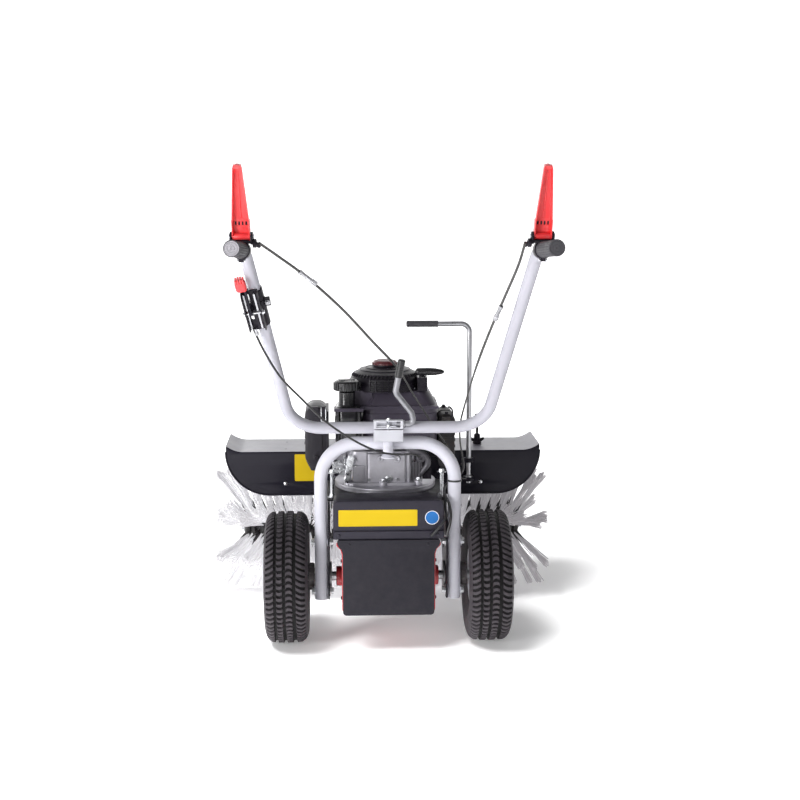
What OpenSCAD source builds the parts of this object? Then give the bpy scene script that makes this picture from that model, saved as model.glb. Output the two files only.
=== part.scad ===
// Power brush sweeper: two driven wheels, engine, swivelling front brush, tilting handlebar.
// X right, Y forward, Z up, floor at Z = 0. Every node is drawn in place.

/* [Wheels] */
// Tyre outer diameter
wheel_d = 344; // [338:1:344]
// Distance from the middle plane to the middle of a tyre
wheel_x = 259; // [257:1:262]
// Axle diameter
axle_d = 24; // [20:1:24]

/* [Frame] */
// Outer diameter of the bent frame tube
frame_d = 34; // [30:0.5:34]
// Wall of the frame tube
frame_wall = 2.6; // [2:0.2:4]
// Distance from the middle plane to a frame leg
leg_x = 172; // [172:1:174]
// Height of the frame's top bar
frame_top = 521; // [516:1:522]
// Bend radius of the frame tube
frame_bend = 95; // [80:1:110]

/* [Handlebar] */
// Outer diameter of the handlebar tube
bar_d = 30; // [28:0.5:30]
// Wall of the handlebar tube
bar_wall = 2; // [1.5:0.1:3]
// Diameter of the rubber grips
grip_d = 38; // [34:1:40]
// Clutch lever length
lever_len = 168; // [150:1:180]
// Clutch lever angle above the squeezed position
lever_rest = 68; // [55:1:72]

/* [Brush] */
// Brush diameter over the bristles
brush_d = 372; // [366:1:372]
// Half width of the brush over the splayed end tufts
brush_half = 482; // [470:1:484]
// Half width of the hood
hood_half = 443; // [440:1:446]
// Sheet thickness of the hood
hood_t = 2.5; // [2:0.1:3]

/* [Engine] */
// Radius of the engine foot
foot_r = 136; // [130:1:138]
// Fuel cap radius
cap_r = 35; // [30:1:36]
// Starter housing radius
dome_r = 95; // [90:1:96]

/* [Hidden] */
$fn = 48;
oy = -62.98;
oz = 15;
axle_z = 157;
leg_y = -45;
eng_y = 170;
tank_x = -103;
tank_y = 84;
piv_y = 330;
rod_x = 240;
br_y = 480;
br_z = 171;
bar_y = -84;
bar_z = 568;
hb_c = [243.5, bar_y, bar_z];
hb_p = [337, -356, 1030];
hb_g = [0.0868, -0.9924, 0.0872];
hb_e = hb_p + hb_g * 179;
g0 = hb_p + hb_g * 29.1;
arm_d = hb_p - hb_c;
arm_o = hb_c + arm_d * ((905 - bar_z) / arm_d[2]);
ax_y = -106;
ax_z = 581;
// hand-chosen cable routes
route_l = [[-300.5, -401.7, 1050.2], [-258, -334, 1014], [-198, -280, 964], [-116, -222, 884],
           [-42, -160, 798], [22, -92, 722], [64, -62, 650], [112, -40, 572],
           [146, -18, 518], [178, -12, 466], [186, -16, 440], [172, -18, 420],
           [151, -24, 404], [146, -50, 390], [157, -94, 364], [157, -118, 334], [146, -124, 292]];
route_r = [[300.5, -401.7, 1050.2], [294, -334, 994], [270, -272, 914], [244, -214, 832],
           [219, -160, 744], [200, -104, 656], [186, -52, 574], [188, -22, 520],
           [196, -10, 470], [196, -9, 440], [174, -10, 412],
           [150, -14, 394], [146, -44, 379], [147, -88, 354], [147, -109, 342], [134, -120, 324], [108, -122, 294]];
route_t = [[-325.7, -267.4, 844], [-302, -262, 790], [-264, -250, 724], [-214, -242, 669],
           [-160, -222, 612], [-98, -180, 560], [-34, -138, 519], [16, -112, 504],
           [52, -70, 496], [70, -20, 484], [82, 30, 470], [88, 66, 458]];

// ---------- helpers ----------
function unit(v) = v / norm(v);
function turn(a, p, b) = acos(max(-1, min(1, unit(p - a) * unit(b - p))));

module at() { translate([0, oy, oz]) children(); }

module seg(p, q, r) {
    d = q - p;
    l = norm(d);
    translate(p) rotate([0, acos(d[2] / l), atan2(d[1], d[0])]) cylinder(h = l, r = r);
}

module elbow(a, p, b, R, r) {
    d0 = unit(p - a);
    d1 = unit(b - p);
    th = turn(a, p, b);
    c = p + unit(d1 - d0) * (R / cos(th / 2));
    e1 = unit(p - d0 * (R * tan(th / 2)) - c);
    e3 = cross(e1, d0);
    multmatrix([[e1[0], d0[0], e3[0], c[0]], [e1[1], d0[1], e3[1], c[1]],
                [e1[2], d0[2], e3[2], c[2]], [0, 0, 0, 1]])
        rotate_extrude(angle = th) translate([R, 0]) circle(r = r);
}

// a tube with bends: points, one radius for each inner point, tube radius
module pipe(pts, R, r) {
    n = len(pts);
    t = [for (i = [0:n - 1]) (i == 0 || i == n - 1) ? 0 : R[i] * tan(turn(pts[i - 1], pts[i], pts[i + 1]) / 2)];
    for (i = [0:n - 2]) {
        d = unit(pts[i + 1] - pts[i]);
        seg(pts[i] + d * t[i], pts[i + 1] - d * t[i + 1], r);
    }
    for (i = [1:n - 2]) elbow(pts[i - 1], pts[i], pts[i + 1], R[i], r);
}

module xcyl(x0, x1, r, y, z) { translate([x0, y, z]) rotate([0, 90, 0]) cylinder(h = x1 - x0, r = r); }
module zcyl(z0, z1, r, x, y) { translate([x, y, z0]) cylinder(h = z1 - z0, r = r); }
module ycyl(y0, y1, r, x, z) { translate([x, y0, z]) rotate([-90, 0, 0]) cylinder(h = y1 - y0, r = r); }
module box(a, b) { translate(a) cube(b - a); }
module hexz(z0, z1, af, x, y) { translate([x, y, z0]) cylinder(h = z1 - z0, r = af / 2 / cos(30), $fn = 6); }
module hexx(x0, x1, af, y, z) { translate([x0, y, z]) rotate([0, 90, 0]) cylinder(h = x1 - x0, r = af / 2 / cos(30), $fn = 6); }
module both() { children(); mirror([1, 0, 0]) children(); }

// flat shape with four round corners
module rrect(x0, y0, x1, y1, r) {
    translate([x0 + r, y0]) square([x1 - x0 - 2 * r, y1 - y0]);
    translate([x0, y0 + r]) square([x1 - x0, y1 - y0 - 2 * r]);
    for (x = [x0 + r, x1 - r], y = [y0 + r, y1 - r]) translate([x, y]) circle(r = r);
}
module upright(y0, y1) { translate([0, y1, 0]) rotate([90, 0, 0]) linear_extrude(y1 - y0) children(); }
// profile drawn as (Y, Z), extruded along X
module along_x(x0, x1) { translate([x0, 0, 0]) rotate([90, 0, 90]) linear_extrude(x1 - x0) children(); }
// profile drawn as (radius, X), turned about an axis along X
module lathe_x(y, z) { translate([0, y, z]) rotate([0, 90, 0]) rotate_extrude() children(); }

module grip_frame() { translate(g0) rotate([-5, 0, 5]) children(); }
module arm_frame() {
    translate([-arm_o[0], arm_o[1], arm_o[2]]) rotate([atan2(-arm_d[1], arm_d[2]), 0, 0])
        rotate([0, -asin(arm_d[0] / norm(arm_d)), 0]) children();
}

// ---------- chassis ----------
module main_frame() color("#d6d6df") at() difference() {
    union() {
        pipe([[-leg_x, leg_y, 110], [-leg_x, leg_y, frame_top], [leg_x, leg_y, frame_top], [leg_x, leg_y, 110]],
             [0, frame_bend, frame_bend, 0], frame_d / 2);
        zcyl(500, 535.8, 13, 0, bar_y);
        box([-6, bar_y + 8, 503], [6, leg_y - frame_d / 2 + 3, 524]);
    }
    pipe([[-leg_x, leg_y, 109], [-leg_x, leg_y, frame_top], [leg_x, leg_y, frame_top], [leg_x, leg_y, 109]],
         [0, frame_bend, frame_bend, 0], frame_d / 2 - frame_wall);
    zcyl(499, 537, 7, 0, bar_y);
    for (z = [130, 262], s = [-1, 1]) xcyl(s * leg_x - 20, s * leg_x + 20, 5.3, leg_y, z);
}

module chassis_bolts() color("#b9bcc2") at() {
    both() for (z = [130, 262]) {
        xcyl(140, 195, 5, leg_y, z);
        hexx(leg_x + frame_d / 2 + 0.5, leg_x + frame_d / 2 + 7.5, 16, leg_y, z);
        hexx(140, 148, 16, leg_y, z);
    }
    for (x = [-78, 78], y = [eng_y - 70, eng_y + 70]) {
        zcyl(352, 385, 4, x, y);
        hexz(380, 387, 13, x, y);
        hexz(353, 361, 13, x, y);
    }
    both() {
        zcyl(365, 432, 5, 143, 16);
        hexz(432, 439, 14, 143, 16);
    }
}

module side_cheeks() color("#2c2b31") at() both() along_x(150.6, 154.6) difference() {
    polygon([[-66, 112], [-20, 108], [40, 108], [125, 250], [130, 361], [-14, 361], [-66, 300]]);
    translate([0, axle_z]) circle(r = 26);
    for (z = [130, 262]) translate([leg_y, z]) circle(r = 5.3);
}

module axle_bearings() color("#8d9098") at() both() difference() {
    union() {
        xcyl(145.6, 163, 26, 0, axle_z);
        xcyl(145.6, 150.6, 38, 0, axle_z);
    }
    xcyl(144, 164, axle_d / 2 + 0.05, 0, axle_z);
}

module gearbox_half() difference() {
    union() {
        xcyl(0, 88, 68, 0, axle_z);
        xcyl(88, 134, 29, 0, axle_z);
        xcyl(120, 134, 40, 0, axle_z);
        intersection() {
            zcyl(112, 252, 28, 0, -54);
            box([0, -90, 100], [40, 0, 260]);
        }
    }
    xcyl(-1, 140, axle_d / 2 + 0.4, 0, axle_z);
    xcyl(-1, 80, 60, 0, axle_z);
    zcyl(170, 236, 20, 0, -54);
    zcyl(160, 260, 10.05, 0, -54);
}
module gearbox_right() color("#c8242c") at() gearbox_half();
module gearbox_left() color("#c8242c") at() mirror([1, 0, 0]) gearbox_half();

module belt_cover() color("#2a2930") at() difference() {
    union() {
        upright(-108, -20) rrect(-141, 290, 141, 384, 16);
        upright(-113, -20) rrect(-141, 284, 141, 306, 4);
    }
    upright(-105, -10) rrect(-138, 260, 138, 381, 13);
    box([-150, -60, 250], [150, -10, 305]);
}

module gearbox_guard() color("#2a2930") at() difference() {
    union() {
        upright(-118, -115) rrect(-117, 85, 117, 284, 10);
        both() box([114, -116, 112], [117, -86, 284]);
        box([-117, -116, 281], [117, -106, 284]);
    }
    both() ycyl(-120, -110, 4, 100, 272);
}

module engine_deck() color("#232228") at() difference() {
    translate([0, 0, 361]) linear_extrude(4)
        polygon([[-134, -60], [134, -60], [134, -14], [156, -14], [156, 226], [60, 296], [60, 384],
                 [-60, 384], [-60, 296], [-156, 226], [-156, -14], [-134, -14]]);
    zcyl(355, 370, 34, 0, eng_y);
    zcyl(355, 370, 30, 0, piv_y);
    for (x = [-78, 78], y = [eng_y - 70, eng_y + 70]) zcyl(355, 370, 4.3, x, y);
}

module swivel_bearing() color("#a58a4a") at() difference() {
    union() {
        zcyl(357, 366, 30, 0, piv_y);
        zcyl(365, 371, 37, 0, piv_y);
    }
    zcyl(350, 380, 25.05, 0, piv_y);
}

module loop(y0, y1, z, r) translate([0, 0, z - 4]) linear_extrude(8) {
    difference() {
        union() {
            translate([0, y0]) circle(r = r + 3.5);
            translate([0, y1]) circle(r = r + 3.5);
            translate([-r - 3.5, y0]) square([2 * r + 7, y1 - y0]);
        }
        translate([0, y0]) circle(r = r - 3.5);
        translate([0, y1]) circle(r = r - 3.5);
        translate([-r + 3.5, y0]) square([2 * r - 7, y1 - y0]);
    }
}
module drive_belt() color("#1c1b1e") at() loop(-54, eng_y, 285, 37);
module brush_belt() color("#1c1b1e") at() loop(eng_y, piv_y, 318, 37);

// ---------- engine ----------
module crankcase() color("#b4b4bc") at() difference() {
    union() {
        intersection() {
            zcyl(365, 380, foot_r, 0, eng_y);
            box([-150, 0, 364], [150, 284, 381]);
        }
        translate([0, 0, 380]) linear_extrude(92) rrect(-92, 92, 70, 262, 14);
        box([-53, 84, 382], [36, 100, 466]);
        zcyl(470, 556, 52, 0, eng_y);
        translate([0, 0, 380]) linear_extrude(9) rrect(-104, 74, 84, 266, 20);
        for (z = [482:12:542]) zcyl(z, z + 4, 56, 0, eng_y);
    }
    zcyl(360, 560, 11.05, 0, eng_y);
    for (x = [-78, 78], y = [eng_y - 70, eng_y + 70]) {
        zcyl(360, 381, 4.3, x, y);
        zcyl(380, 400, 10, x, y);
    }
}

module engine_shroud() color("#2b2a31") at() difference() {
    union() {
        translate([0, 0, 478]) linear_extrude(152) rrect(-62, 78, 137, 262, 34);
        translate([0, 0, 587]) linear_extrude(8) rrect(-62, 76, 139, 264, 34);
    }
    translate([0, 0, 470]) linear_extrude(156) rrect(-58, 82, 133, 258, 30);
    zcyl(620, 640, 60, 0, eng_y);
}

module recoil_cover() color("#2b2a31") at() difference() {
    union() {
        translate([0, eng_y, 630]) rotate_extrude() polygon([[0, 0], [dome_r, 0], [dome_r, 22],
            [dome_r - 4, 33], [dome_r - 14, 45], [dome_r - 30, 53], [dome_r - 50, 58], [0, 60]]);
        box([84, 96, 635], [110, 140, 671]);
    }
    translate([0, eng_y, 624]) rotate_extrude() polygon([[0, 0], [dome_r - 4, 0], [dome_r - 4, 26],
        [dome_r - 9, 36], [dome_r - 18, 47], [dome_r - 32, 54], [dome_r - 50, 58], [0, 60]]);
}

module recoil_cap() color("#cf2630") at() translate([0, eng_y, 690])
    rotate_extrude() polygon([[0, 0], [34, 0], [34, 9], [31, 13], [22, 15.5], [0, 16.5]]);

module fuel_tank() color("#2b2a31") at() difference() {
    union() {
        translate([0, 0, 498]) linear_extrude(100) rrect(-134, 52, -64, 160, 24);
        zcyl(596, 656, 17, tank_x, tank_y);
    }
    translate([0, 0, 501]) linear_extrude(94) rrect(-131, 55, -67, 157, 21);
    zcyl(590, 658, 14, tank_x, tank_y);
}

module fuel_cap() color("#26252b") at() difference() {
    union() {
        zcyl(638, 665, cap_r, tank_x, tank_y);
        for (a = [0:15:345]) translate([tank_x, tank_y, 640]) rotate(a) translate([cap_r, 0, 0]) cylinder(h = 21, r = 1.6, $fn = 16);
    }
    zcyl(637, 659, 17.07, tank_x, tank_y);
}

module air_filter() color("#2b2a31") at() difference() {
    union() {
        upright(110, 236) {
            rrect(-215, 430, -156, 590, 24);
            polygon([[-200, 440], [-182, 416], [-156, 416], [-156, 470]]);
        }
        box([-160, 106, 424], [-152, 240, 578]);
        box([-172, 98, 564], [-158, 110, 593]);
    }
    upright(114, 232) rrect(-211, 436, -160, 586, 20);
}

module carburettor() color("#9fa0a8") at() union() {
    xcyl(-152, -92, 17, eng_y, 450);
    zcyl(408, 440, 20, -122, eng_y);
    box([-140, 140, 438], [-106, 200, 472]);
}

module muffler() color("#4a484c") at() difference() {
    union() {
        upright(112, 240) rrect(141, 420, 185, 566, 16);
        xcyl(70, 142, 14, eng_y + 20, 450);
        box([150, 96, 540], [172, 113, 560]);
    }
    upright(114, 238) rrect(143, 422, 183, 564, 14);
    xcyl(74, 150, 10, eng_y + 20, 450);
}

module crankshaft() color("#a9abb0") at() union() {
    zcyl(262, 575, 11, 0, eng_y);
    zcyl(562, 575, 52, 0, eng_y);
}

module grooved(z0, z1, zs, bore, x, y) difference() {
    zcyl(z0, z1, 40, x, y);
    for (z = zs) difference() {
        zcyl(z - 5, z + 5, 45, x, y);
        zcyl(z - 6, z + 6, 33, x, y);
    }
    zcyl(z0 - 1, z1 + 1, bore, x, y);
}
module engine_pulley() color("#8b8d93") at() grooved(272, 332, [285, 318], 11, 0, eng_y);

module gearbox_pulley() color("#8b8d93") at() union() {
    grooved(272, 298, [285], 9, 0, -54);
    zcyl(165, 306, 10, 0, -54);
}

module starter_handle() color("#26252b") at() union() {
    xcyl(78, 134, 10, 84, 686);
    translate([134, 84, 686]) rotate([0, 90, 0]) cylinder(h = 20, r1 = 10, r2 = 6);
    seg([97, 84, 686], [97, 94, 677], 6);
}

// ---------- running gear ----------
module axle_shaft() color("#a9abb0") at() xcyl(-314, 314, axle_d / 2, 0, axle_z);

module ratchet_hubs() color("#3a393f") at() both() difference() {
    xcyl(191, 207, 35, 0, axle_z);
    xcyl(190, 208, axle_d / 2, 0, axle_z);
}

module tyre(s) translate([s * wheel_x, 0, 0]) lathe_x(0, axle_z) {
    r = wheel_d / 2;
    difference() {
        polygon([[80, -36], [84, -37], [98, -50], [122, -56.5], [146, -55.5], [160, -50], [r - 4, -41], [r, -26],
                 [r, 26], [r - 4, 41], [160, 50], [146, 55.5], [122, 56.5], [98, 50], [84, 37], [80, 36]]);
        polygon([[79, -30], [86, -31], [100, -42], [122, -47.5], [144, -47], [155, -41], [r - 12, -24],
                 [r - 12, 24], [155, 41], [144, 47], [122, 47.5], [100, 42], [86, 31], [79, 30]]);
    }
}
module rim(s) translate([s * wheel_x, 0, 0]) lathe_x(0, axle_z)
    polygon([[axle_d / 2 + 0.05, -48], [30, -48], [30, -5], [74, -5], [74, -42], [84, -42], [84, -38], [79.5, -38],
             [79.5, 38], [84, 38], [84, 42], [74, 42], [74, 5], [30, 5], [30, 48], [axle_d / 2 + 0.05, 48]]);
module tyre_left() color("#232226") at() tyre(-1);
module tyre_right() color("#232226") at() tyre(1);
module rim_left() color("#cfcfd6") at() rim(-1);
module rim_right() color("#cfcfd6") at() rim(1);

// ---------- brush head ----------
module brush_carrier() color("#3b3a40") at() difference() {
    union() {
        zcyl(349, 356, 42, 0, piv_y);
        zcyl(349, 385, 25, 0, piv_y);
        box([-300, 330, 349], [300, 350, 356]);
        both() box([262, 329, 318], [290, 334, 356]);
        box([-20, 330, 349], [20, 388, 356]);
        box([-20, 376, 302], [20, 388, 356]);
    }
    both() ycyl(320, 340, 4, 276, 335);
}

module brush_gearcase() color("#b9242b") at() difference() {
    union() {
        along_x(-30, 30) {
            translate([br_y, br_z]) circle(r = 42);
            translate([338, 254]) circle(r = 38);
            polygon([[352, 289], [500, 212], [460, 138], [316, 222]]);
        }
        box([-20, 376, 240], [20, 388, 302]);
    }
    zcyl(250, 300, 9.05, 0, piv_y);
    xcyl(-40, 40, 15.05, br_y, br_z);
}

// hood section at height g above the flat top
module hood_shape(g) difference() {
    union() {
        translate([326, 260]) square([174, 166 + g]);
        translate([500, 276]) circle(r = 150 + g, $fn = 96);
    }
    translate([300, 50]) square([400, 226]);
}
module hood() color("#d6d6df") at() difference() {
    union() {
        along_x(-hood_half, hood_half) hood_shape(0);
        both() for (i = [1:6]) along_x(hood_half - 21 + 3 * i, hood_half) hood_shape(16 * i * i / 36);
    }
    along_x(-hood_half - 5, hood_half + 5) union() {
        translate([320, 200]) square([180, 226 - hood_t]);
        translate([500, 276]) circle(r = 150 - hood_t, $fn = 96);
    }
    for (y = [364, 464]) zcyl(400, 450, 3.5, -276, y);
    zcyl(400, 450, 4, 274, 415);
}

module rear_skirt() color("#232228") at() upright(323, 326) difference() {
    union() {
        translate([-hood_half, 422]) square([2 * hood_half, 4]);
        difference() {
            rrect(-hood_half, 294, hood_half, 570, 124);
            translate([-500, 422]) square([1000, 300]);
        }
    }
    translate([-112, 280]) square([224, 115]);
    for (x = [-276, 276]) translate([x, 335]) circle(r = 4);
}

module head_bolts() color("#b9bcc2") at() {
    for (x = [-276, 276]) {
        ycyl(317, 342, 4, x, 335);
        translate([x, 323, 335]) rotate([90, 0, 0]) cylinder(h = 6, r = 7.5, $fn = 6);
        translate([x, 340, 335]) rotate([90, 0, 0]) cylinder(h = 6, r = 7.5, $fn = 6);
    }
    difference() {
        hexz(372, 380, 60, 0, piv_y);
        zcyl(370, 382, 25, 0, piv_y);
    }
}

module lever_guides() color("#232228") at() for (z = [342, 396]) difference() {
    box([rod_x - 12, 292, z], [rod_x + 12, 323, z + 10]);
    zcyl(z - 1, z + 11, 6.35, rod_x, 305);
}

module screw_stud() color("#8f9197") at() union() {
    zcyl(416, 507, 4, 274, 415);
    zcyl(507, 515, 7, 274, 415);
}
module wing_screw() color("#232228") at() difference() {
    union() {
        translate([274, 415, 427]) cylinder(h = 12, r1 = 13, r2 = 9);
        zcyl(439, 456, 9, 274, 415);
        both_wings() box([279, 412, 434], [294, 418, 444]);
    }
    zcyl(420, 460, 4.05, 274, 415);
}
module both_wings() { children(); translate([548, 0, 0]) mirror([1, 0, 0]) children(); }

module brush_pulley() color("#8b8d93") at() union() {
    grooved(304, 332, [318], 8, 0, piv_y);
    zcyl(255, 340, 9, 0, piv_y);
}

module brush_shaft() color("#a9abb0") at() union() {
    xcyl(-404, 404, 15, br_y, br_z);
    both() hexx(404, 414, 17, br_y, br_z);
}
module brush_cores() color("#1f1e22") at() both() difference() {
    union() {
        xcyl(37, 400, 30, br_y, br_z);
        for (x = [48:27:395]) xcyl(x, x + 8, 40, br_y, br_z);
    }
    xcyl(30, 405, 15, br_y, br_z);
}
module bristles() color("#e6e4ea") at() both() union() {
    difference() {
        union() {
            xcyl(42, 403, 46, br_y, br_z);
            for (x = [50:27:374]) xcyl(x, x + 4, brush_d / 2, br_y, br_z);
        }
        xcyl(40, 410, 40.5, br_y, br_z);
    }
    lathe_x(br_y, br_z) polygon([[41, 394], [brush_d / 2 - 8, brush_half - 6], [brush_d / 2 - 14, brush_half], [41, 400]]);
}

module lock_lever() color("#a3a3ab") at() union() {
    pipe([[rod_x, 305, 336], [rod_x, 305, 788], [70, 305, 788]], [0, 24, 0], 6.3);
    zcyl(352.4, 358, 10, rod_x, 305);
}
module lock_grip() color("#26252b") at() difference() {
    xcyl(64, 152, 9, 305, 788);
    xcyl(70, 153, 6.3, 305, 788);
}

// ---------- handlebar ----------
module clamp_bore() xcyl(-60, 60, bar_d / 2 + 0.05, bar_y, bar_z);
module clamp_saddle() color("#c9c9d2") at() difference() {
    box([-37, -114, 536], [37, -63.5, 566.5]);
    clamp_bore();
    zcyl(530, 570, 7, 0, bar_y);
    zcyl(550, 570, 3.5, 0, -107);
}
module clamp_cap() color("#c9c9d2") at() difference() {
    box([-37, -114, 569.5], [37, -60, 592]);
    clamp_bore();
    box([-14, -115, 572], [14, -102.5, 588]);
    zcyl(560, 610, 3.5, 0, -107);
    xcyl(18, 40, 5.55, ax_y, ax_z);
}
module clamp_fasteners() color("#b9bcc2") at() {
    zcyl(491, 550, 7, 0, bar_y);
    translate([0, bar_y, 490]) cylinder(h = 10, r1 = 19, r2 = 10);
    zcyl(551, 593, 3.5, 0, -107);
    hexz(592, 598, 13, 0, -107);
}
module clamp_lever() color("#a3a3ab") at() union() {
    xcyl(20, 46, 5.5, ax_y, ax_z);
    hose(bent([[42, ax_y, ax_z], [64, ax_y, ax_z], [58, -107, 609], [17, -111, 662], [32, -117, 738]],
              [0, 11, 20, 20, 0], 5), 5.47, m = 20, ref = [0, 1, 0]);
}
module clamp_grip() color("#26252b") at() difference() {
    seg([24.5, -114, 700], [33.58, -117.632, 746], 9.5);
    seg([23.316, -113.526, 694], [32, -117, 738], 5.6);
}

module bar_arm() hose(bent([[54, bar_y, bar_z], hb_c, hb_p, hb_e], [0, 90, 55, 0], 8),
    bar_d / 2 - 0.03, bar_d / 2 - bar_wall + 0.03, 24, [0, 0.866, 0.5]);
module handlebar() color("#d6d6df") at() union() {
    difference() {
        xcyl(-62, 62, bar_d / 2, bar_y, bar_z);
        xcyl(-63, 63, bar_d / 2 - bar_wall, bar_y, bar_z);
    }
    bar_arm();
    mirror([1, 0, 0]) bar_arm();
}
module hand_grips() color("#3a393f") at() both() grip_frame() rotate([90, 0, 0]) difference() {
    union() {
        translate([0, 0, 28]) cylinder(h = 126, r = grip_d / 2 - 1.5);
        translate([0, 0, 28]) cylinder(h = 5, r = grip_d / 2);
        translate([0, 0, 148]) cylinder(h = 6, r = grip_d / 2);
    }
    translate([0, 0, 20]) cylinder(h = 129.9, r = bar_d / 2);
}

module lever_brackets() color("#26252b") at() both() grip_frame() difference() {
    union() {
        translate([0, -2, 0]) rotate([90, 0, 0]) cylinder(h = 22, r = 21);
        box([-26, -24, 12], [26, -2, 20]);
        for (x = [-26, 21.5]) {
            box([x, -24, 12], [x + 4.5, -2, 31]);
            xcyl(x, x + 4.5, 11, -13, 31);
        }
        xcyl(-34, -26, 10, -13, 16);
    }
    translate([0, 10, 0]) rotate([90, 0, 0]) cylinder(h = 50, r = bar_d / 2);
    xcyl(-40, 40, 4, -13, 31);
}
module lever_pins() color("#b9bcc2") at() {
    both() grip_frame() xcyl(-29, 29, 4, -13, 31);
    arm_frame() xcyl(-34, 2, 3, -29, -8);
}

module lever_shape() translate([0, -13, 31]) rotate([-lever_rest, 0, 0]) difference() {
    union() {
        xcyl(-20.5, 20.5, 8.5, 0, 0);
        translate([0, 0, -5]) linear_extrude(13.5) {
            polygon([[-20.5, 0], [20.5, 0], [20.5, -28], [11, 11 - lever_len], [-11, 11 - lever_len], [-20.5, -28]]);
            translate([0, 11 - lever_len]) circle(r = 11);
        }
    }
    translate([0, 0, -6]) linear_extrude(11.5)
        polygon([[-17.5, -12], [17.5, -12], [17.5, -30], [8.5, 10 - lever_len], [-8.5, 10 - lever_len], [-17.5, -30]]);
    xcyl(-30, 30, 4.05, 0, 0);
}
module clutch_lever_right() color("#d62832") at() grip_frame() lever_shape();
module clutch_lever_left() color("#d62832") at() mirror([1, 0, 0]) grip_frame() lever_shape();

module throttle_bracket() color("#2a2930") at() arm_frame() difference() {
    union() {
        box([-31, -18.5, -53], [-3, -15.5, 53]);
        box([-31, -36, -53], [-28.5, -15.5, 53]);
        box([-5.5, -36, -53], [-3, -15.5, 53]);
        translate([0, 0, -12]) cylinder(h = 24, r = 19);
        box([-28, -17, -12], [0, 0, 12]);
    }
    translate([0, 0, -60]) cylinder(h = 120, r = bar_d / 2 + 0.1);
    xcyl(-40, 5, 3, -29, -8);
}
module throttle_lever() color("#d62832") at() arm_frame() difference() {
    union() {
        box([-19.5, -33, -8], [-14.5, -25, 68]);
        xcyl(-22, -12, 6, -29, -8);
        translate([-24, -29, 60]) linear_extrude(34) rrect(-13, -9, 13, 9, 7);
    }
    xcyl(-40, 5, 3.05, -29, -8);
}

// ---------- cables ----------
function mix(p, i, t) = let (n = len(p), a = p[max(0, i - 1)], b = p[i], c = p[i + 1], d = p[min(n - 1, i + 2)])
    0.5 * (2 * b + (c - a) * t + (2 * a - 5 * b + 4 * c - d) * t * t + (3 * b - a - 3 * c + d) * t * t * t);
function smooth(p, k) = concat([for (i = [0:len(p) - 2], j = [0:k - 1]) mix(p, i, j / k)], [p[len(p) - 1]]);
module hose(p, r, bore = 0, m = 8, ref = [-0.7, 0.7, 0.2]) {
    n = len(p);
    k = bore > 0 ? 2 * m : m;
    t = [for (i = [0:n - 1]) unit(p[min(n - 1, i + 1)] - p[max(0, i - 1)])];
    v = [for (i = [0:n - 1], s = [0:k - 1]) let (a = unit(cross(t[i], ref)), b = cross(t[i], a), w = 360 / m * (s % m), q = s < m ? r : bore)
        p[i] + q * (cos(w) * a + sin(w) * b)];
    f = concat(
        [for (i = [0:n - 2], s = [0:m - 1]) let (u = (s + 1) % m) [k * i + s, k * i + k + s, k * i + k + u, k * i + u]],
        bore > 0 ? [for (i = [0:n - 2], s = [0:m - 1]) let (u = (s + 1) % m)
            [k * i + m + u, k * i + k + m + u, k * i + k + m + s, k * i + m + s]] : [],
        bore > 0 ? [for (s = [0:m - 1]) let (u = (s + 1) % m) [s, u, m + u, m + s]] : [[for (s = [0:m - 1]) s]],
        bore > 0 ? [for (s = [0:m - 1]) let (u = (s + 1) % m, e = k * (n - 1)) [e + m + s, e + m + u, e + u, e + s]]
            : [[for (s = [m - 1:-1:0]) k * (n - 1) + s]]);
    polyhedron(points = v, faces = f, convexity = 8);
}
// points along a bent line: k steps in each bend
function bent(pts, R, k) = let (n = len(pts)) concat([pts[0]],
    [for (i = [1:n - 2]) let (th = turn(pts[i - 1], pts[i], pts[i + 1]), d0 = unit(pts[i] - pts[i - 1]), d1 = unit(pts[i + 1] - pts[i]),
        c = pts[i] + unit(d1 - d0) * (R[i] / cos(th / 2)), e1 = unit(pts[i] - d0 * (R[i] * tan(th / 2)) - c))
        for (j = [0:k]) c + R[i] * (cos(th * j / k) * e1 + sin(th * j / k) * d0)],
    [pts[n - 1]]);
module control_cables() color("#1e1d20") at() {
    hose(smooth(route_l, 2), 3.1);
    hose(smooth(route_r, 2), 3.1);
    hose(smooth(route_t, 2), 2.7);
}
module cable_fittings() color("#b9bcc2") at() {
    translate([leg_x, leg_y, 424]) rotate_extrude() translate([frame_d / 2 + 1.6, 0]) square([1.6, 6]);
    seg([-214, -293, 978], [-176, -264, 946], 5.2);
    seg([264, -258, 892], [252, -231, 856], 5.2);
}

main_frame();
chassis_bolts();
side_cheeks();
axle_bearings();
gearbox_left();
gearbox_right();
belt_cover();
gearbox_guard();
engine_deck();
swivel_bearing();
drive_belt();
brush_belt();
crankcase();
engine_shroud();
recoil_cover();
recoil_cap();
fuel_tank();
air_filter();
carburettor();
muffler();
clamp_saddle();
clamp_cap();
clamp_fasteners();
crankshaft();
engine_pulley();
fuel_cap();
starter_handle();
axle_shaft();
ratchet_hubs();
tyre_left();
rim_left();
tyre_right();
rim_right();
gearbox_pulley();
brush_carrier();
brush_gearcase();
hood();
rear_skirt();
head_bolts();
lever_guides();
screw_stud();
wing_screw();
brush_pulley();
brush_shaft();
brush_cores();
bristles();
lock_lever();
lock_grip();
clamp_lever();
clamp_grip();
handlebar();
hand_grips();
lever_brackets();
lever_pins();
throttle_bracket();
clutch_lever_left();
clutch_lever_right();
throttle_lever();
control_cables();
cable_fittings();
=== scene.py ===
import bpy, bmesh, math
import numpy as np
from mathutils import Vector, Matrix


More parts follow.
